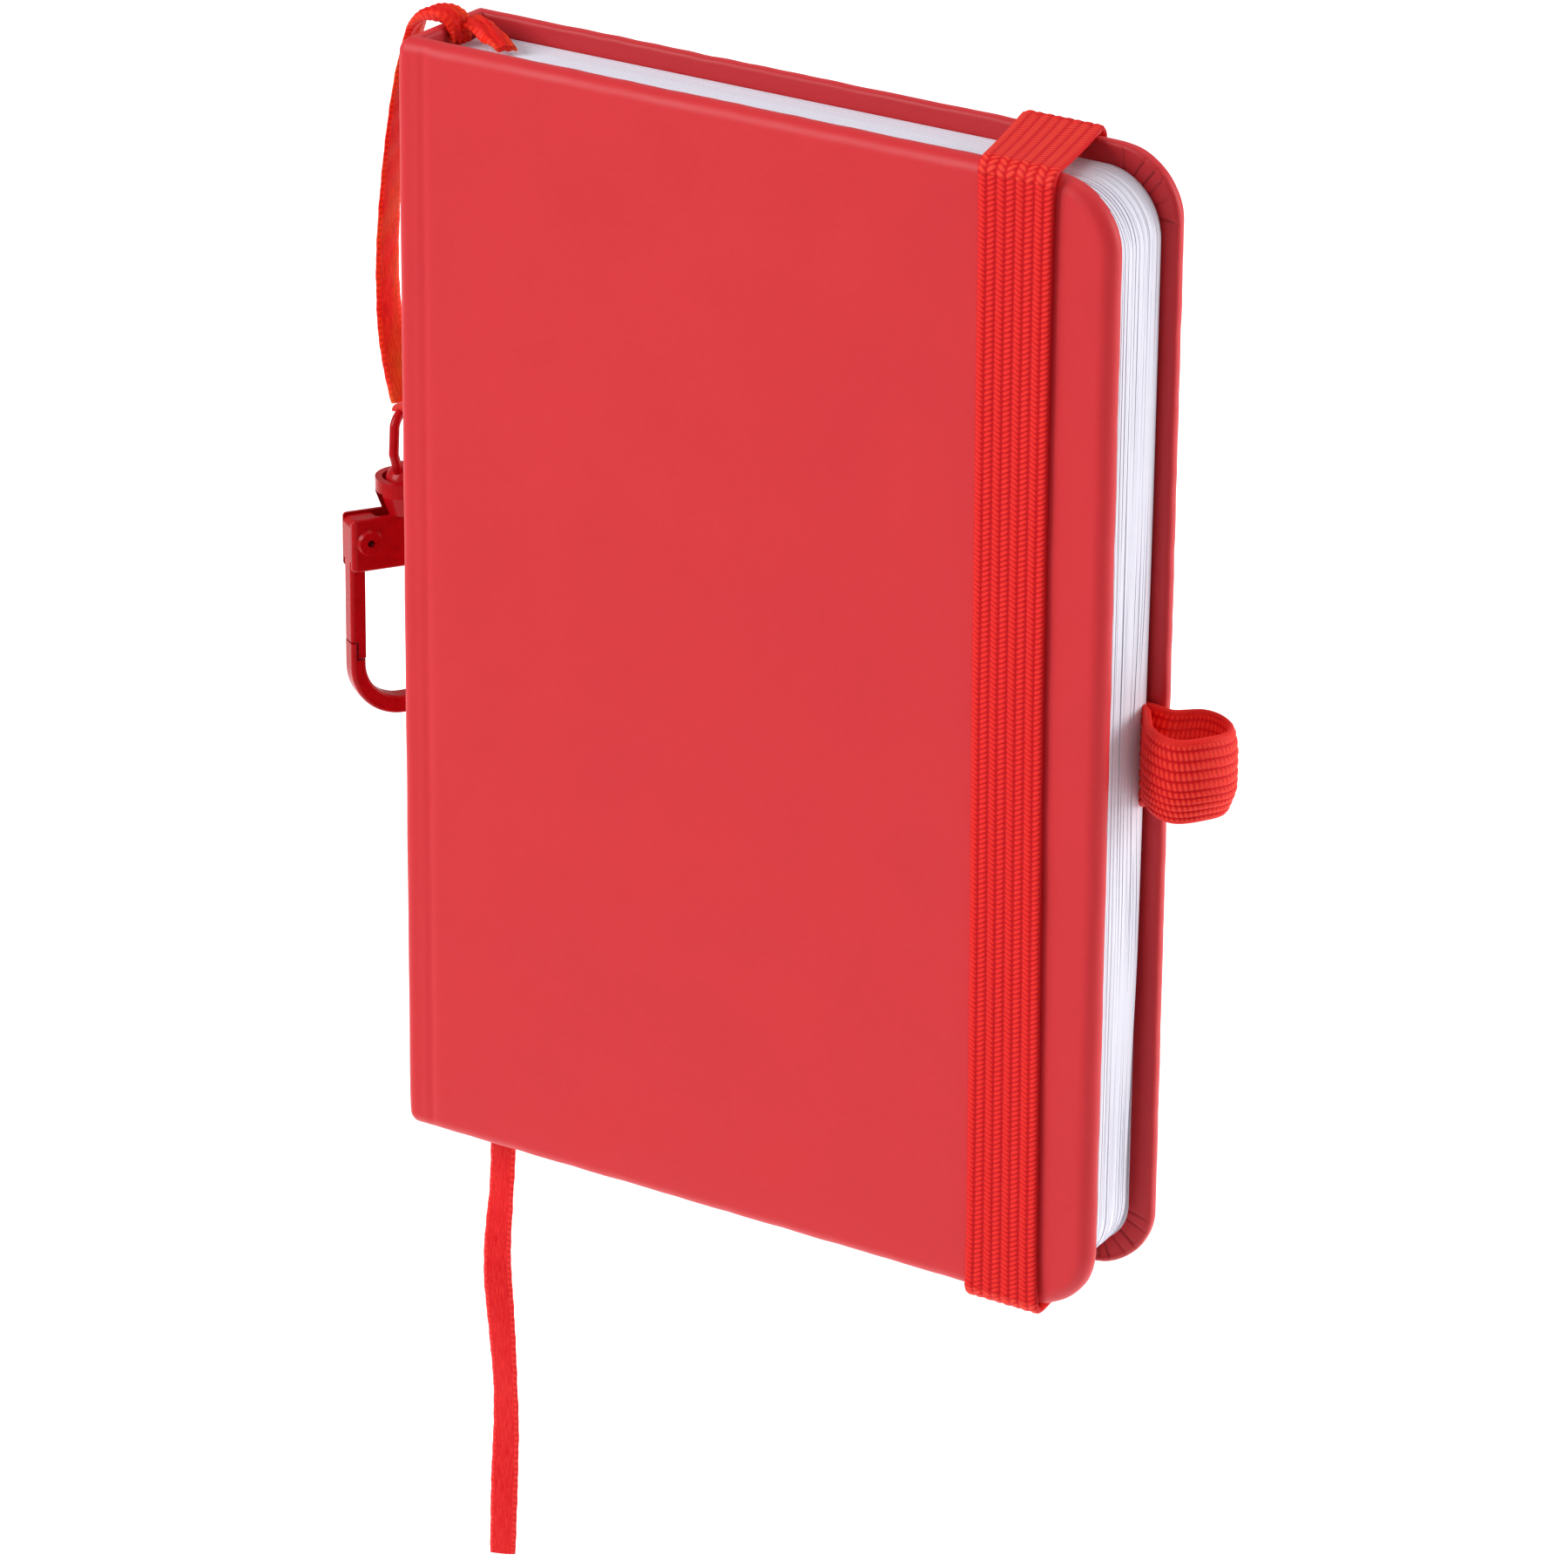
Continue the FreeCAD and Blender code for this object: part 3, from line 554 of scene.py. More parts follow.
def across_map(u, depth):
    """Unrolled distance u from the middle of the spine, depth below the skin, to (x, y) of the front half."""
    u = np.asarray(u, float)
    depth = np.broadcast_to(np.asarray(depth, float), u.shape).copy()
    a = MID - R0
    arc = R0 * math.pi / 2
    phi = np.clip((u - a) / R0, 0, math.pi / 2)
    x = np.where(u < a, 0.0, np.where(u < a + arc, R0 - R0 * np.cos(phi), R0 + (u - a - arc)))
    y = np.where(u < a, MID - u, np.where(u < a + arc, R0 - R0 * np.sin(phi), 0.0))
    nx = np.where(u < a, 1.0, np.where(u < a + arc, np.cos(phi), 0.0))
    ny = np.where(u < a, 0.0, np.where(u < a + arc, np.sin(phi), 1.0))
    deep = (u >= a) & (u < a + arc) & (depth > R0)
    px, py = x + nx * depth, y + ny * depth
    px = np.where(deep, depth, px)
    py = np.where(deep, depth, py)
    on_cover = u >= a + arc
    on_spine = u < a
    px = np.where(on_cover, np.maximum(px, depth), px)
    py = np.where(on_spine, np.maximum(py, depth), py)
    return px, py


U_CORNER = MID - R0 + R0 * math.pi / 2
U_OF_X = lambda x: U_CORNER + (x - R0)
U_MAX = U_OF_X(W)


def u_marks():
    us = [0, 2, 4, 6, 7.0]
    us += list(np.linspace(MID - R0, U_CORNER, 9))
    us += list(np.arange(U_CORNER + 0.35, U_OF_X(8.0), 0.35))
    us += list(np.arange(U_OF_X(8.6), U_OF_X(W - CORNER) - 0.5, 1.15))
    us.append(U_OF_X(W - CORNER))
    return us


US = u_marks()
N_ARC, N_SIDE = 90, 78


def loop_points(d):
    """Open outline at inset d: head from the spine to the corner, arc, fore-edge, arc, tail back to the spine."""
    r = max(CORNER - d, 0.4)
    cxx = W - d - r
    uc = U_OF_X(cxx)
    k = (uc) / US[-1]
    head = [(min(u * 1.0, u) if u < 14 else 14 + (u - 14) * (uc - 14) / (US[-1] - 14), H - d) for u in US]
    pts = head[:-1] + [(uc, H - d)]
    zc = H - d - r
    for i in range(1, N_ARC + 1):
        t = i / N_ARC * math.pi / 2
        pts.append((uc + r * math.sin(t), zc + r * math.cos(t)))
    z1, z0 = zc, d + r
    for i in range(1, N_SIDE + 1):
        pts.append((uc + r, z1 + (z0 - z1) * i / N_SIDE))
    for i in range(1, N_ARC + 1):
        t = (1 - i / N_ARC) * math.pi / 2
        pts.append((uc + r * math.sin(t), z0 - r * math.cos(t)))
    pts += [(u, d) for (u, _) in head[::-1][1:]]
    return pts


NL = len(loop_points(1.0))
N_HEAD = len(US)
RHO, RHO_IN = 1.85, 0.6


def profile():
    """(inset, depth, kind) from the face round the edge to the inside."""
    out = []
    for d in (9.0, 6.5, 4.8, 3.6, 2.9, 2.3, 2.0):
        out.append((d, 0.0, "face"))
    for i in range(0, 11):
        t = i / 10 * math.pi / 2
        out.append((RHO * (1 - math.sin(t)), RHO * (1 - math.cos(t)), "edge"))
    for i in range(1, 6):
        t = i / 5 * math.pi / 2
        out.append((RHO_IN * (1 - math.cos(t)), THICK - RHO_IN + RHO_IN * math.sin(t), "edge"))
    for d in (0.8, 1.1, 1.5, 2.0, 2.6, 3.3, 4.2, 5.4, 7.0, 9.5, 12.0):
        out.append((d, THICK, "inside"))
    return out


def cover_skin(front):
    prof = profile()
    verts, rows, painted_shade_values = [], [], []
    rng = np.random.RandomState(11 if front else 23)
    pleats = {}
    for c in (0, 1):
        n = 6
        th = np.linspace(0.10, 0.93, n) + rng.uniform(-0.04, 0.04, n)
        pleats[c] = (th, rng.uniform(0.6, 1.15, n), rng.uniform(-0.12, 0.12, n), rng.uniform(3.2, 6.5, n))
    for k, (d, dep, kind) in enumerate(prof):
        pts = np.array(loop_points(d))
        u, z = pts[:, 0], pts[:, 1]
        depth = np.full(len(u), dep)
        x_lin = u - U_CORNER + R0
        # padded swell of the face, and the crease along the joint
        pillow = 0.20 * max(0.0, 1 - d / 7.5) ** 3
        groove = 0.20 * np.exp(-((x_lin - 4.2) / 0.62) ** 2) + 0.08 * np.exp(-((x_lin - 2.7) / 0.9) ** 2)
        groove = groove + pillow * smooth(5, 9, u) + 0.05 * (1 - smooth(5, 9, u))
        painted_crease_shade = np.zeros(len(u))
        fade = smooth(0.0, 3.0, np.minimum(z, H - z)) * 0.55 + 0.45
        outer_side = 1.0 - min(1.0, dep / THICK)
        depth = depth + groove * fade * outer_side ** 2
        # soft waviness of the padding
        wav = value_noise(np.c_[u / 9.0, z / 9.0], 5 if front else 6)
        depth = depth + 0.035 * wav * (outer_side ** 2) * smooth(0, 6, np.abs(u - 4))
        idx = np.arange(len(u))
        a1, a2 = N_HEAD - 1, N_HEAD - 1 + N_ARC
        b1, b2 = a2 + N_SIDE, a2 + N_SIDE + N_ARC
        # edge unevenness
        ins = np.zeros(len(u))
        if kind == "edge":
            ins = 0.05 * value_noise(np.c_[u / 2.6, z / 2.6], 9 if front else 10) * smooth(12, 16, u)
            if not front:
                xx = x_lin
                rip = smooth(66, 70, xx) * (1 - smooth(80, 82, xx)) * (z > H / 2)
                depth = depth + 0.07 * np.sin(xx * 2 * math.pi / 1.25) * rip * math.sin(math.pi * min(1.0, dep / THICK))
                ins = ins + 0.05 * np.sin(xx * 2 * math.pi / 1.25) * rip
        # pleats of the turned-in skin at the corners; each crease also gets painted shade in the fold attribute
        if dep > THICK * 0.7:
            inward = 1.0 if kind == "inside" else float(smooth(THICK * 0.7, THICK, dep)) * 0.45
            for c, (i1, i2) in enumerate(((a1, a2), (b1, b2))):
                th, depths, skew, reach = pleats[c]
                t = np.clip((idx - i1) / float(i2 - i1), 0, 1)
                if c == 1:
                    t = 1 - t
                near = ((idx > i1 - 14) & (idx < i2 + 14)).astype(float)
                cut = np.zeros(len(u))
                for a, dp, sk, rc in zip(th, depths, skew, reach):
                    aa = a + sk * (d - 2.0) / 6.0
                    lenfade = (1 - smooth(rc, rc + 2.0, d)) if kind == "inside" else 1.0
                    dt = (t - aa)
                    fold = np.exp(-(dt / 0.012) ** 2) * 0.17 + np.where(dt > 0, np.exp(-dt / 0.07), 0) * 0.13
                    cut = np.maximum(cut, dp * fold * lenfade)
                    # painted shade along the crease
                    painted_crease_shade = np.maximum(painted_crease_shade, np.exp(-(dt / 0.011) ** 2) * min(1.0, dp * 0.85) * lenfade * near)
                depth = depth - np.minimum(cut, 0.27) * near * inward
            painted_crease_shade = painted_crease_shade * inward
        if kind == "inside":
            depth = depth + 0.02 * value_noise(np.c_[u / 3.0, z / 3.0], 31)
        zz = z + np.where(z > H / 2, 1, -1) * 0.0
        # move the edge in or out along the outline's normal
        if np.any(ins):
            cxn, czn = np.zeros(len(u)), np.zeros(len(u))
            tang = np.gradient(pts, axis=0)
            tang /= np.maximum(np.linalg.norm(tang, axis=1)[:, None], 1e-9)
            nrm = np.c_[-tang[:, 1], tang[:, 0]]
            keep = smooth(10, 14, u)
            u = u + nrm[:, 0] * ins * keep
            zz = zz + nrm[:, 1] * ins * keep
        px, py = across_map(u, np.maximum(depth, -0.2))
        if not front:
            py = T - py
        rows.append(len(verts))
        verts += [(a, b, c) for a, b, c in zip(px, py, zz)]
        # painted shade over the turned-in inside and the inner edge rings
        shade = 0.32 * float(smooth(THICK * 0.75, THICK, dep))
        painted_shade_values += list(np.maximum(painted_crease_shade, shade))
    faces = []
    for k in range(len(prof) - 1):
        a, b = rows[k], rows[k + 1]
        for i in range(NL - 1):
            q = (a + i, a + i + 1, b + i + 1, b + i)
            faces.append(q if front else q[::-1])

    # grids that close the face and the inside
    def fill(ring, dep, flip):
        d = prof[ring][0]
        base = rows[ring]
        top = list(range(0, N_HEAD + N_ARC))                 # head and first arc
        bot = [NL - 1 - i for i in top]
        m = N_SIDE
        cols = []
        pts = np.array(loop_points(d))
        for i in top[:-1]:
            (u0, z0), (u1, z1) = pts[i], pts[NL - 1 - i]
            z = z0 + (z1 - z0) * np.arange(1, m) / m
            u = np.full(len(z), u0)
            x_lin = u - U_CORNER + R0
            dd = np.full(len(z), dep)
            if dep == 0.0:
                dd = 0.20 * np.exp(-((x_lin - 4.2) / 0.62) ** 2) + 0.08 * np.exp(-((x_lin - 2.7) / 0.9) ** 2)
                dd = dd + 0.05 * (1 - smooth(5, 9, u))
                dd = dd * (smooth(0.0, 3.0, np.minimum(z, H - z)) * 0.55 + 0.45)
                dd = dd + 0.035 * value_noise(np.c_[u / 9.0, z / 9.0], 5 if front else 6) * smooth(0, 6, np.abs(u - 4))
            px, py = across_map(u, dd)
            if not front:
                py = T - py
            n0 = len(verts)
            verts.extend(zip(px.tolist(), py.tolist(), z.tolist()))
            # painted shade over the inside fill, none on the outer face
            painted_shade_values.extend([0.32 if dep > 0 else 0.0] * len(z))
            cols.append([base + i] + list(range(n0, n0 + len(z))) + [base + NL - 1 - i])
        last = [base + (N_HEAD + N_ARC - 1) + j for j in range(m + 1)]
        cols.append(last)
        for i in range(len(cols) - 1):
            for j in range(m):
                q = (cols[i][j], cols[i][j + 1], cols[i + 1][j + 1], cols[i + 1][j])
                q = q[::-1] if flip else q
                faces.append(q if front else q[::-1])

    fill(0, 0.0, False)
    fill(len(prof) - 1, THICK, True)
    ob = mesh_piece("front_cover_wrap" if front else "back_cover_wrap", verts, faces, M_SKIN)
    # the fold attribute carries the painted shade of the creases and the inside
    layer = ob.data.attributes.new("fold", "FLOAT", "POINT")
    layer.data.foreach_set("value", np.asarray(painted_shade_values, np.float32))
    return ob


front_wrap = cover_skin(True)
back_wrap = cover_skin(False)
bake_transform(front_wrap)
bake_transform(back_wrap)
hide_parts("front_cover_skin", "spine_skin")
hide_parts("back_cover_skin")


def cover_board(front):
    """Greyboard with its outer edge sanded round, under the padded skin."""
    y_out, y_in = 0.36, 2.33
    rr = 1.6
    rings = [(0.36 + rr, y_out)]
    for i in range(1, 9):
        t = i / 8 * math.pi / 2
        rings.append((0.36 + rr * (1 - math.sin(t)), y_out + rr * (1 - math.cos(t))))
    rings.append((0.36, y_in - 0.15))
    rings.append((0.5, y_in))
    verts, faces = [], []
    rng = np.random.RandomState(4)
    for (d, y) in rings:
        r = CORNER - d
        x0 = 4.05
        pts = [(x0, H - d), (40.0, H - d)]
        pts += [(W - d - r + r * math.sin(t), H - d - r + r * math.cos(t)) for t in np.linspace(0, math.pi / 2, 28)]
        pts += [(W - d - r + r * math.cos(t), d + r - r * math.sin(t)) for t in np.linspace(0, math.pi / 2, 28)]
        pts += [(40.0, d), (x0, d)]
        verts += [(x, y if front else T - y, z) for (x, z) in pts]
    m = len(verts) // len(rings)
    faces = grid_faces(len(rings), m, closed_v=True, flip=not front)
    a = tuple(range(m))
    b = tuple((len(rings) - 1) * m + k for k in range(m))
    faces.append(a[::-1] if front else a)
    faces.append(b if front else b[::-1])
    ob = mesh_piece("front_cover_board" if front else "back_cover_board", verts, faces, M_BOARD, sharp=30)
    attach(ob, "front_cover" if front else "back_cover")
    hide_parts("front_board" if front else "back_board")


cover_board(True)
cover_board(False)


def spine_core():
    """Narrow board of the spine, its long and short edges sanded round."""
    rr = 1.45
    rings = []
    for i in range(0, 9):
        t = i / 8 * math.pi / 2
        rings.append((rr * (1 - math.sin(t)), 0.42 + rr * (1 - math.cos(t))))
    rings.append((0.0, 2.2))
    rings.append((0.12, 2.32))
    verts = []
    for (d, x) in rings:
        y0, y1, z0, z1 = 0.75 + d, T - 0.75 - d, 0.5 + d, H - 0.5 - d
        r = max(0.5, 1.3 - d * 0.5)
        for (cy, cz, a0) in ((y1 - r, z1 - r, 0), (y0 + r, z1 - r, 1), (y0 + r, z0 + r, 2), (y1 - r, z0 + r, 3)):
            for t in np.linspace(0, math.pi / 2, 7):
                a = a0 * math.pi / 2 + t
                verts.append((x, cy + r * math.cos(a), cz + r * math.sin(a)))
    m = len(verts) // len(rings)
    faces = grid_faces(len(rings), m, closed_v=True, flip=False)
    faces.append(tuple(range(m))[::-1])
    faces.append(tuple((len(rings) - 1) * m + k for k in range(m)))
    ob = mesh_piece("spine_core_board", verts, faces, M_BOARD, sharp=30)
    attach(ob, "spine")
    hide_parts("spine_board")


spine_core()

# ---- page block ------------------------------------------------------------------
def page_shift(x, y, z):
    """Leaves pressed forward where the pen loop leaves the cover, and the block's gentle wave."""
    y0, y1 = 3.0, 15.0
    k = np.clip((y - y0) / (y1 - y0), 0, 1)
    g = smooth(80, 102, x)
    foot = 1 - smooth(12, 62, z)
    press = -g * (1.75 * k ** 2.0 * np.exp(-((z - 70.0) / 17.0) ** 2) + 1.25 * k ** 1.6 * foot)
    wave = 0.22 * np.sin(z / 31.0 + 0.8) * np.sin(math.pi * k) * g
    return press + wave


def section(i, node=None, n=6):
    lo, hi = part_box(node or "section_%d" % i)
    x0 = (lo.x - ORIGIN[0]) * 1000
    x1 = (hi.x - ORIGIN[0]) * 1000
    y0 = (lo.y - ORIGIN[1]) * 1000
    y1 = (hi.y - ORIGIN[1]) * 1000
    z0 = (lo.z - ORIGIN[2]) * 1000
    z1 = (hi.z - ORIGIN[2]) * 1000
    rng = np.random.RandomState(100 + i)
    verts, faces, flat = [], [], []
    ys = np.linspace(y0, y1, n + 1) + np.r_[0, rng.uniform(-0.05, 0.05, n - 1), 0]
    for k in range(n):
        ya, yb = ys[k] + 0.008, ys[k + 1] - 0.008
        dx = rng.uniform(-0.11, 0.0)
        dh = rng.uniform(-0.07, 0.0)
        dt = rng.uniform(0.0, 0.07)
        if i == 1 and k == 0 or i == 8 and k == n - 1:
            dx = -0.35
        r = 8.0 + rng.uniform(-0.25, 0.25)
        X1, Z1, Z0 = x1 + dx, z1 + dh, z0 + dt
        out = []
        for x in np.r_[np.linspace(x0, 60, 8), np.linspace(66, X1 - r, 8)]:
            out.append((x, Z1))
        for t in np.linspace(0, math.pi / 2, 15)[1:]:
            out.append((X1 - r + r * math.sin(t), Z1 - r + r * math.cos(t)))
        for z in np.linspace(Z1 - r, Z0 + r, 64)[1:]:
            out.append((X1, z))
        for t in np.linspace(0, math.pi / 2, 15)[1:]:
            out.append((X1 - r + r * math.cos(t), Z0 + r - r * math.sin(t)))
        for x in np.r_[np.linspace(x0, 60, 8), np.linspace(66, X1 - r, 8)][::-1][1:]:
            out.append((x, Z0))
        out = np.array(out)
        wob = 0.03 * np.sin(out[:, 1] / 13.0 + rng.uniform(0, 6)) * smooth(90, 102, out[:, 0])
        base = len(verts)
        m = len(out)
        for y in (ya, yb):
            sh = page_shift(out[:, 0], y, out[:, 1])
            back = -0.55 * ((y - 3.0) / 12.0) * (1 - smooth(10, 75, out[:, 1])) * smooth(85, 102, out[:, 0])
            for (x, z), s, w, bk in zip(out, sh, wob, back):
                verts.append((x + w + bk, y + s, z))
        for j in range(m):
            a, b = base + j, base + (j + 1) % m
            faces.append((a, b, b + m, a + m))
        # faces of the stack, as strips so that they bend with the block
        half = m // 2
        for side, off in ((0, 0), (1, m)):
            for j in range(half):
                a, b = base + off + j, base + off + j + 1
                c, d = base + off + (m - 2 - j), base + off + (m - 1 - j)
                if len({a, b, c, d}) < 4:
                    if len({a, b, c, d}) == 3:
                        q = tuple(dict.fromkeys((a, b, c, d)))
                    else:
                        continue
                else:
                    q = (a, b, c, d)
                flat.append(len(faces))
                faces.append(q if side == 1 else q[::-1])
    ob = mesh_piece("leaf_back" if node else "leaves_section_%d" % i, verts, faces, M_EDGES, smooth_shade=True, sharp=30)
    ob.data.materials.append(M_PAPER)
    for f in flat:
        ob.data.polygons[f].material_index = 1
    body = "back_cover" if i >= 8 else "leaves_%d" % i
    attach(ob, body)
    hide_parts(node or "section_%d" % i)
    return ob


for i in range(1, 9):
    section(i)
section(9, "back_flyleaf", 1)

# ---- elastic closure band ----------------------------------------------------------
BW = 10.4


def webbing(name, path, across, s, width, thick, ribs, material, out_dir, rib_h=0.14, pitch=0.66, knots=0.07,
            chevron=True, per_rib=6, u_off=0.0, width_at=None, fold=0.0):
    """Knitted elastic strip along path. across: unit width direction at each point; out_dir: +1 or -1, the ribbed side."""
    tang = np.gradient(path, axis=0)
    tang /= np.linalg.norm(tang, axis=1)[:, None]
    across = across - (across * tang).sum(1)[:, None] * tang
    across /= np.linalg.norm(across, axis=1)[:, None]
    nrm = np.cross(tang, across) * out_dir
    n = len(path)
    m = ribs * per_rib + 1
    v = np.linspace(0, 1, m)
    r = v * ribs
    k = np.minimum(np.floor(r), ribs - 1)
    f = r - k - 0.5
    ridge = np.abs(np.cos(math.pi * f)) ** 0.7
    odd = (k % 2) * 2 - 1
    verts, uvs = [], []
    wid = np.full(n, width) if width_at is None else np.asarray(width_at)
    for i in range(n):
        ph = (s[i] + u_off) / pitch + f * (odd * 0.9 if chevron else 0.30) + k * 0.37
        st = np.sin(2 * math.pi * ph) * knots * ridge
        edge = np.minimum(v, 1 - v) * wid[i]
        if fold > 0:
            ed = 1 - smooth(fold * 0.85, fold, edge)
            h = (rib_h * ridge + st) * (1 - ed) + ed * 0.10 * np.sqrt(np.clip(edge / fold, 0, 1))
        else:
            h = rib_h * ridge + st
        rnd = 1 - np.exp(-edge / 0.18)
        top = thick / 2 * (0.35 + 0.65 * rnd) + h
        low = -thick / 2 * (0.35 + 0.65 * rnd) - 0.25 * h
        base = path[i][None, :] + across[i][None, :] * ((v - 0.5) * wid[i])[:, None]
        up = base + nrm[i][None, :] * top[:, None]
        dn = base + nrm[i][None, :] * low[:, None]
        verts.append(np.vstack([up, dn[::-1]]))
        uv = np.c_[np.full(m, s[i] + u_off), v * width]
        uvs.append(np.vstack([uv, uv[::-1]]))
    mm = 2 * m
    faces = grid_faces(n, mm, closed_v=True, flip=out_dir > 0)
    a = tuple(range(mm))
    b = tuple((n - 1) * mm + q for q in range(mm))
    faces.append(a if out_dir < 0 else a)
    faces.append(b[::-1])
    return mesh_piece(name, np.vstack(verts), faces, material, uv=np.vstack(uvs))


# front run: it leans a little towards the fore-edge at the foot
zs = np.arange(0.84, H - 0.83, 0.165)
cx = np.interp(zs, [0, 30, 80, 120, H], [92.0, 91.75, 91.2, 91.0, 90.95])
wd = np.interp(zs, [0, 8, 50, 100, 140, H], [10.7, 10.35, 10.2, 10.2, 10.4, 10.7])
fy = np.full(len(zs), -0.54)
front_path = np.c_[cx, fy, zs]
acr = np.tile(np.array([[1.0, 0, 0]]), (len(zs), 1))
band_front = webbing("band_front", front_path[::-1], acr, zs, 10.4, 0.72, 8, M_BAND, 1, width_at=wd[::-1])
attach(band_front, "closure_band")
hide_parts("band_front_run")


def end_run(top):
    """The band over the head or the tail, slanting towards the back cover."""
    sgn = 1 if top else -1
    z_edge = H if top else 0.0
    c_front = 90.95 if top else 92.0
    c_back = 86.4 if top else 89.2
    pts = []
    ys = []
    r = 0.95
    # round the front edge
    for t in np.linspace(0, math.pi / 2, 14):
        pts.append((-0.56 + 1.47 * (1 - math.cos(t)), z_edge + sgn * (-1.0 + 1.46 * math.sin(t))))
    y_a = pts[-1][0]
    for y in np.linspace(y_a, T - 1.0, 60)[1:]:
        sag = 0.14 * math.sin(math.pi * (y - y_a) / (T - 1.0 - y_a))
        pts.append((y, z_edge + sgn * (0.46 + 0.05 * (y - y_a) / 16 - sag)))
    pts = np.array(pts)
    k = np.clip((pts[:, 0] - 0.0) / (T - 1.0), 0, 1)
    xc = c_front + (c_back - c_front) * k
    path = np.c_[xc, pts[:, 0], pts[:, 1]]
    d = np.r_[0, np.cumsum(np.linalg.norm(np.diff(path, axis=0), axis=1))]
    path2, s2 = even(path, 0.22)
    a = np.tile(np.array([[1.0, 0, 0]]), (len(path2), 1))
    wdt = np.interp(s2, [0, 3, s2[-1]], [10.7, 10.9, 11.3])
    # the width stays along the cover's edge while the strip slants
    tang = np.gradient(path2, axis=0)
    ob = webbing_skew("band_head" if top else "band_tail", path2, s2, wdt, 0.72, 1 if top else -1,
                      (1.0 + s2 * 0 - s2 + 0.0) if top else (H - 1.0) + s2)
    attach(ob, "back_cover")
    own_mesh(ob)
    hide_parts("band_head_run" if top else "band_tail_run")
    return ob


def webbing_skew(name, path, s, wid, thick, zdir, phase):
    """Drawn-out part of the band: four soft ridges, width kept along x."""
    n = len(path)
    m = 45
    v = np.linspace(0, 1, m)
    tang = np.gradient(path, axis=0)
    tang /= np.linalg.norm(tang, axis=1)[:, None]
    ax = np.array([1.0, 0, 0])
    verts, uvs = [], []
    for i in range(n):
        nrm = np.cross(tang[i], ax)
        nrm /= np.linalg.norm(nrm)
        if nrm[2] * zdir < 0 or (abs(nrm[2]) < 0.2 and nrm[1] > 0):
            nrm = -nrm
        f = v * 4.6
        ridge = np.abs(np.cos(math.pi * (f - np.floor(f) - 0.5))) ** 0.8
        chev = 1 - float(smooth(0.8, 3.2, s[i]))
        f8 = v * 8
        r8 = np.abs(np.cos(math.pi * (f8 - np.floor(f8) - 0.5))) ** 0.7
        kk = np.floor(np.minimum(f8, 7.999))
        odd = (kk % 2) * 2 - 1
        knot = np.sin(2 * math.pi * (phase[i] / 0.66 + (f8 - kk - 0.5) * 0.9 * odd + kk * 0.37)) * r8
        knot = knot * (0.03 + 0.04 * chev)
        h = 0.14 * (ridge * 0.75 * (1 - chev) + r8 * (0.25 + 0.75 * chev)) + knot
        edge = np.minimum(v, 1 - v) * wid[i]
        rnd = 1 - np.exp(-edge / 0.18)
        base = path[i][None, :] + ax[None, :] * ((v - 0.5) * wid[i])[:, None]
        up = base + nrm[None, :] * (thick / 2 * (0.35 + 0.65 * rnd) + h)[:, None]
        dn = base - nrm[None, :] * (thick / 2 * (0.35 + 0.65 * rnd))[:, None]
        verts.append(np.vstack([up, dn[::-1]]))
        uv = np.c_[np.full(m, phase[i]), v * 10.4]
        uvs.append(np.vstack([uv, uv[::-1]]))
    mm = 2 * m
    faces = grid_faces(n, mm, closed_v=True, flip=True)
    faces.append(tuple(range(mm)))
    faces.append(tuple((n - 1) * mm + q for q in range(mm))[::-1])
    # the lighter band material: painted highlight
    ob = mesh_piece(name, np.vstack(verts), faces, M_BAND_PAINTED_LIT, uv=np.vstack(uvs))
    return ob


end_run(True)
end_run(False)


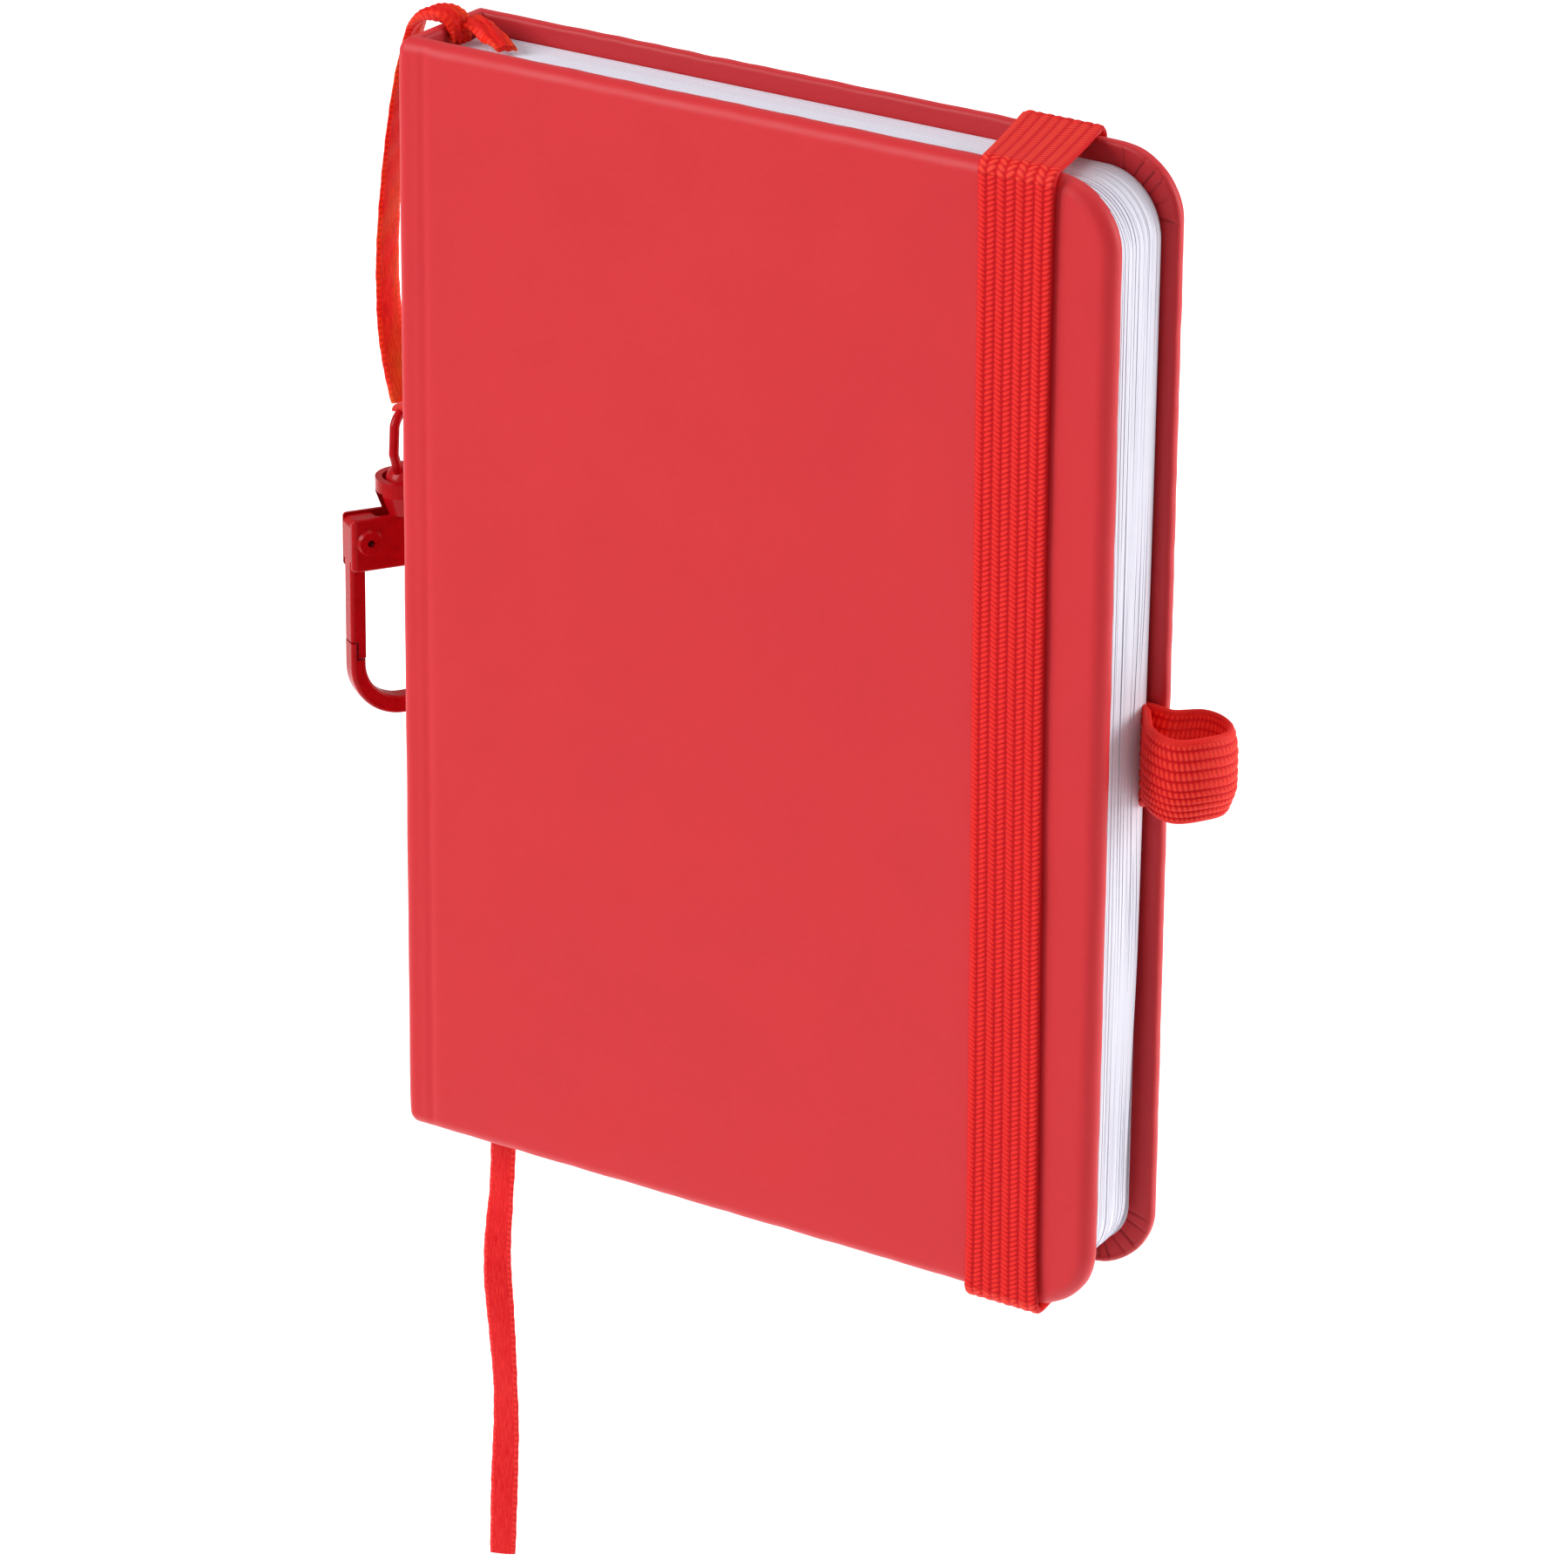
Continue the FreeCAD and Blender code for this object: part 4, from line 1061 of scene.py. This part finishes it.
def tails():
    """Both ends of the band: over the back cover's edge and down to their slits."""
    verts, faces, uvs = [], [], []
    for top in (True, False):
        sgn = 1 if top else -1
        z_edge = H if top else 0.0
        c = 86.4 if top else 89.2
        path = []
        for y in np.linspace(T - 1.3, T - 0.75, 3):
            path.append((c, y, z_edge + sgn * 0.55))
        for t in np.linspace(0, math.pi / 2, 9)[1:]:
            path.append((c, T - 0.75 + 1.3 * math.sin(t), z_edge + sgn * (0.55 - 1.3 + 1.3 * math.cos(t))))
        for z in np.linspace(1.6, 13.6, 30):
            path.append((c, T + 0.52, z_edge - sgn * z))
        for t in np.linspace(0, math.pi / 2, 5)[1:]:
            path.append((c, T + 0.52 - 1.1 * (1 - math.cos(t)) - (0.6 if t > 1.5 else 0), z_edge - sgn * (13.6 + 0.9 * math.sin(t))))
        path, s = even(np.array(path), 0.2)
        m = 49
        v = np.linspace(0, 1, m)
        tang = np.gradient(path, axis=0)
        tang /= np.linalg.norm(tang, axis=1)[:, None]
        ax = np.array([1.0, 0, 0])
        base0 = len(verts)
        for i in range(len(path)):
            nrm = np.cross(tang[i], ax) * (-1 if top else 1)
            nrm /= np.linalg.norm(nrm)
            f8 = v * 8
            ff = f8 - np.floor(np.minimum(f8, 7.999)) - 0.5
            r8 = np.abs(np.cos(math.pi * ff)) ** 0.7
            odd = (np.floor(np.minimum(f8, 7.999)) % 2) * 2 - 1
            h = 0.11 * r8 + 0.05 * r8 * np.sin(2 * math.pi * (s[i] / 0.66 + ff * 0.9 * odd))
            edge = np.minimum(v, 1 - v) * 10.8
            rnd = 1 - np.exp(-edge / 0.18)
            b = path[i][None, :] + ax[None, :] * ((v - 0.5) * 10.8)[:, None]
            up = b + nrm[None, :] * (0.36 * (0.35 + 0.65 * rnd) + h)[:, None]
            dn = b - nrm[None, :] * (0.36 * (0.35 + 0.65 * rnd))[:, None]
            verts += [tuple(q) for q in up] + [tuple(q) for q in dn[::-1]]
            uvs += [(s[i], x * 10.4) for x in v] + [(s[i], x * 10.4) for x in v[::-1]]
        n = len(path)
        faces += grid_faces(n, 2 * m, closed_v=True, flip=not top, base=base0)
        a = tuple(base0 + q for q in range(2 * m))
        b = tuple(base0 + (n - 1) * 2 * m + q for q in range(2 * m))
        faces.append(a if top else a[::-1])
        faces.append(b[::-1] if top else b)
    ob = mesh_piece("band_back_tails", verts, faces, M_BAND, uv=uvs)
    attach(ob, "back_cover")
    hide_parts("band_anchors")


tails()

# ---- elastic pen loop ---------------------------------------------------------------
lp_lo, lp_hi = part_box("pen_loop")
LZ0 = (lp_lo.z - ORIGIN[2]) * 1000
LZ1 = (lp_hi.z - ORIGIN[2]) * 1000


def pen_loop():
    pts = np.array([
        (99.2, 14.15), (100.9, 14.1), (102.5, 13.35), (103.9, 11.3), (105.5, 9.0), (107.8, 7.4), (110.2, 7.1),
        (112.7, 8.5), (114.2, 10.9), (114.45, 13.4), (113.2, 15.9), (110.9, 17.3), (108.2, 17.4), (106.3, 16.5),
        (104.9, 15.25), (103.4, 14.75), (101.3, 14.75), (99.2, 14.8)])
    # smooth closed-form interpolation (Catmull-Rom)
    out = []
    P = np.vstack([2 * pts[0] - pts[1], pts, 2 * pts[-1] - pts[-2]])
    for i in range(1, len(P) - 2):
        for t in np.linspace(0, 1, 14, endpoint=False):
            a, b, c, d = P[i - 1], P[i], P[i + 1], P[i + 2]
            out.append(0.5 * ((2 * b) + (c - a) * t + (2 * a - 5 * b + 4 * c - d) * t ** 2 + (3 * b - a - 3 * c + d) * t ** 3))
    out.append(pts[-1])
    out = np.array(out)
    path, s = even(np.c_[out, np.full(len(out), (LZ0 + LZ1) / 2)], 0.16)
    a = np.tile(np.array([[0, 0, 1.0]]), (len(path), 1))
    # the webbing flares a little at its rims and sags between them
    ob = webbing("pen_loop_webbing", path, a, s, LZ1 - LZ0, 0.74, 10, M_LOOP, 1, rib_h=0.24, pitch=0.62, knots=0.06,
                 chevron=False, per_rib=6, fold=0.75)
    me = ob.data
    co = np.zeros(len(me.vertices) * 3, np.float32)
    me.vertices.foreach_get("co", co)
    co = co.reshape(-1, 3)
    q = (co - ORIGIN) * 1000
    zm = (LZ0 + LZ1) / 2
    lean = (q[:, 2] - zm) / (zm - LZ0)
    c0 = np.array([109.0, 12.4])
    rad = q[:, :2] - c0
    free = smooth(101.8, 105.0, q[:, 0])
    k = 1 + (0.02 * (1 - lean ** 2) - 0.10 * smooth(0.25, 1.0, -lean) - 0.05 * smooth(0.5, 1.0, lean)) * free
    q[:, 0] = c0[0] + rad[:, 0] * k - 0.2 * free * smooth(0.1, 1.0, -lean)
    q[:, 1] = c0[1] + rad[:, 1] * k
    q[:, 2] = np.where(q[:, 2] < zm, zm - (zm - q[:, 2]) * (1 - 0.29 * free), q[:, 2])
    q[:, 2] += 0.14 * np.sin(q[:, 0] * 0.7 + q[:, 1] * 0.4) * free + 0.45 * smooth(0.2, 1.0, lean) * (1 - smooth(102, 107, q[:, 0]))
    co = q / 1000 + ORIGIN
    me.vertices.foreach_set("co", co.astype(np.float32).ravel())
    me.update()
    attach(ob, "back_cover")
    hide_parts("pen_loop")


pen_loop()

# ---- folded end of the strap on the page heads ----------------------------------------
def strap_end():
    pts = [(3.0, 10.8, 144.8), (3.1, 10.8, 146.8), (4.0, 10.9, 148.0), (5.6, 10.8, 147.8), (7.2, 10.4, 147.0),
           (9.0, 9.6, 146.7), (10.4, 9.0, 146.2)]
    path, s = even(spline_points("strap_end_route", pts), 0.2)
    k = s / s[-1]
    ang = np.radians(np.interp(k, [0, 0.4, 0.7, 1.0], [84, 96, 112, 108]))
    tilt = np.radians(np.interp(k, [0, 0.5, 1.0], [4, 16, 12]))
    acr = np.c_[np.cos(ang) * np.cos(tilt), np.sin(ang) * np.cos(tilt), np.sin(tilt)]
    ob = ribbon("strap_end_fold", path, s, acr, 3.5, 0.4, M_STRAP, cut=0.9, cup=0.25, ripple=0.10, seed=5, across_n=25,
                wid=np.interp(k, [0, 0.4, 0.8, 1.0], [2.8, 3.4, 3.2, 2.7]), bunch=0.75 * (1 - 0.5 * k))
    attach(ob, "spine")
    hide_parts("strap_tail")


strap_end()


# ---- carried-over CAD nodes ---------------------------------------------------------
def dress(nodes, material, angle=35, bevel=0.0):
    for n in nodes:
        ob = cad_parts[n]
        ob.data.materials.clear()
        ob.data.materials.append(material)
        for p in ob.data.polygons:
            p.material_index = 0
        if bevel:
            b = ob.modifiers.new("soft_edges", "BEVEL")
            b.width = bevel / 1000.0
            b.segments = 2
            b.limit_method = "ANGLE"
            b.angle_limit = math.radians(40)


dress(["hook_body", "gate", "gate_rivet", "swivel_eye", "swivel_stud"], M_ENAMEL)
dress(["gate_spring"], M_STEEL)
dress(["front_endpaper", "back_endpaper", "front_flyleaf", "spine_lining"], M_PAPER)
M_TAB = webbing_material("elastic_tab", lin("E03028"), lin("B00812"), 0.62, 1.55, 0.0, 13.0, chevron=False)


def plain_cloth(name, bright, deep):
    m = Mat(name, rough=0.5, spec=0.4, sheen=0.3)
    p = m.obj_mm()
    n = m.noise(m.scaled(p, (6, 6, 1.2)), 1.0, 3.0)
    m.colour(m.ramp(n, [(0.3, deep), (0.7, bright)]))
    m.bump(n, 0.4, 0.08)
    return m.m


M_HID = plain_cloth("satin_hidden", lin("F03020"), lin("C00810"))
dress(["bookmark_inner", "strap_root", "strap_fold"], M_HID)
dress(["pen_loop_tab"], M_HID)


# ---- stage --------------------------------------------------------------------------
def stage():
    z = -0.62
    me = bpy.data.meshes.new("floor")
    s = 6.0
    me.from_pydata([(-s, -s, z), (s, -s, z), (s, s, z), (-s, s, z)], [], [(0, 1, 2, 3)])
    fl = link(bpy.data.objects.new("floor", me))
    m = bpy.data.materials.new("floor_pale")
    m.use_nodes = True
    b = m.node_tree.nodes["Principled BSDF"]
    b.inputs["Base Color"].default_value = (0.93, 0.93, 0.93, 1)
    b.inputs["Roughness"].default_value = 0.9
    b.inputs["Specular IOR Level"].default_value = 0.1
    me.materials.append(m)
    w = bpy.data.worlds.new("studio")
    bpy.context.scene.world = w
    w.use_nodes = True
    bg = w.node_tree.nodes["Background"]
    bg.inputs[0].default_value = (1, 1, 1, 1)
    bg.inputs[1].default_value = 0.38

    def area(name, place, target, size, power, colour=(1, 1, 1)):
        li = bpy.data.lights.new(name, "AREA")
        li.shape = "RECTANGLE"
        li.size, li.size_y = size
        li.energy = power
        li.color = colour
        ob = link(bpy.data.objects.new(name, li))
        ob.location = place
        ob.rotation_mode = "QUATERNION"
        ob.rotation_quaternion = (Vector(target) - Vector(place)).to_track_quat("-Z", "Y")
        return ob

    area("key", (-0.78, -0.95, 0.66), (0, 0, 0.02), (0.75, 0.75), 14.0)
    area("side", (1.35, 0.95, 0.35), (0, 0, 0), (0.9, 1.1), 17.5)
    area("top", (0.15, 0.25, 1.3), (0, 0, 0), (0.7, 0.7), 2.6)
    area("floor_light", (-0.8, 1.35, -0.26), (-0.8, 1.3501, z), (3.4, 3.4), 40.0)
    sc = bpy.context.scene
    sc.view_settings.view_transform = "Standard"
    sc.view_settings.look = "None"
    sc.view_settings.exposure = 0.0
    sc.view_settings.gamma = 1.0


stage()
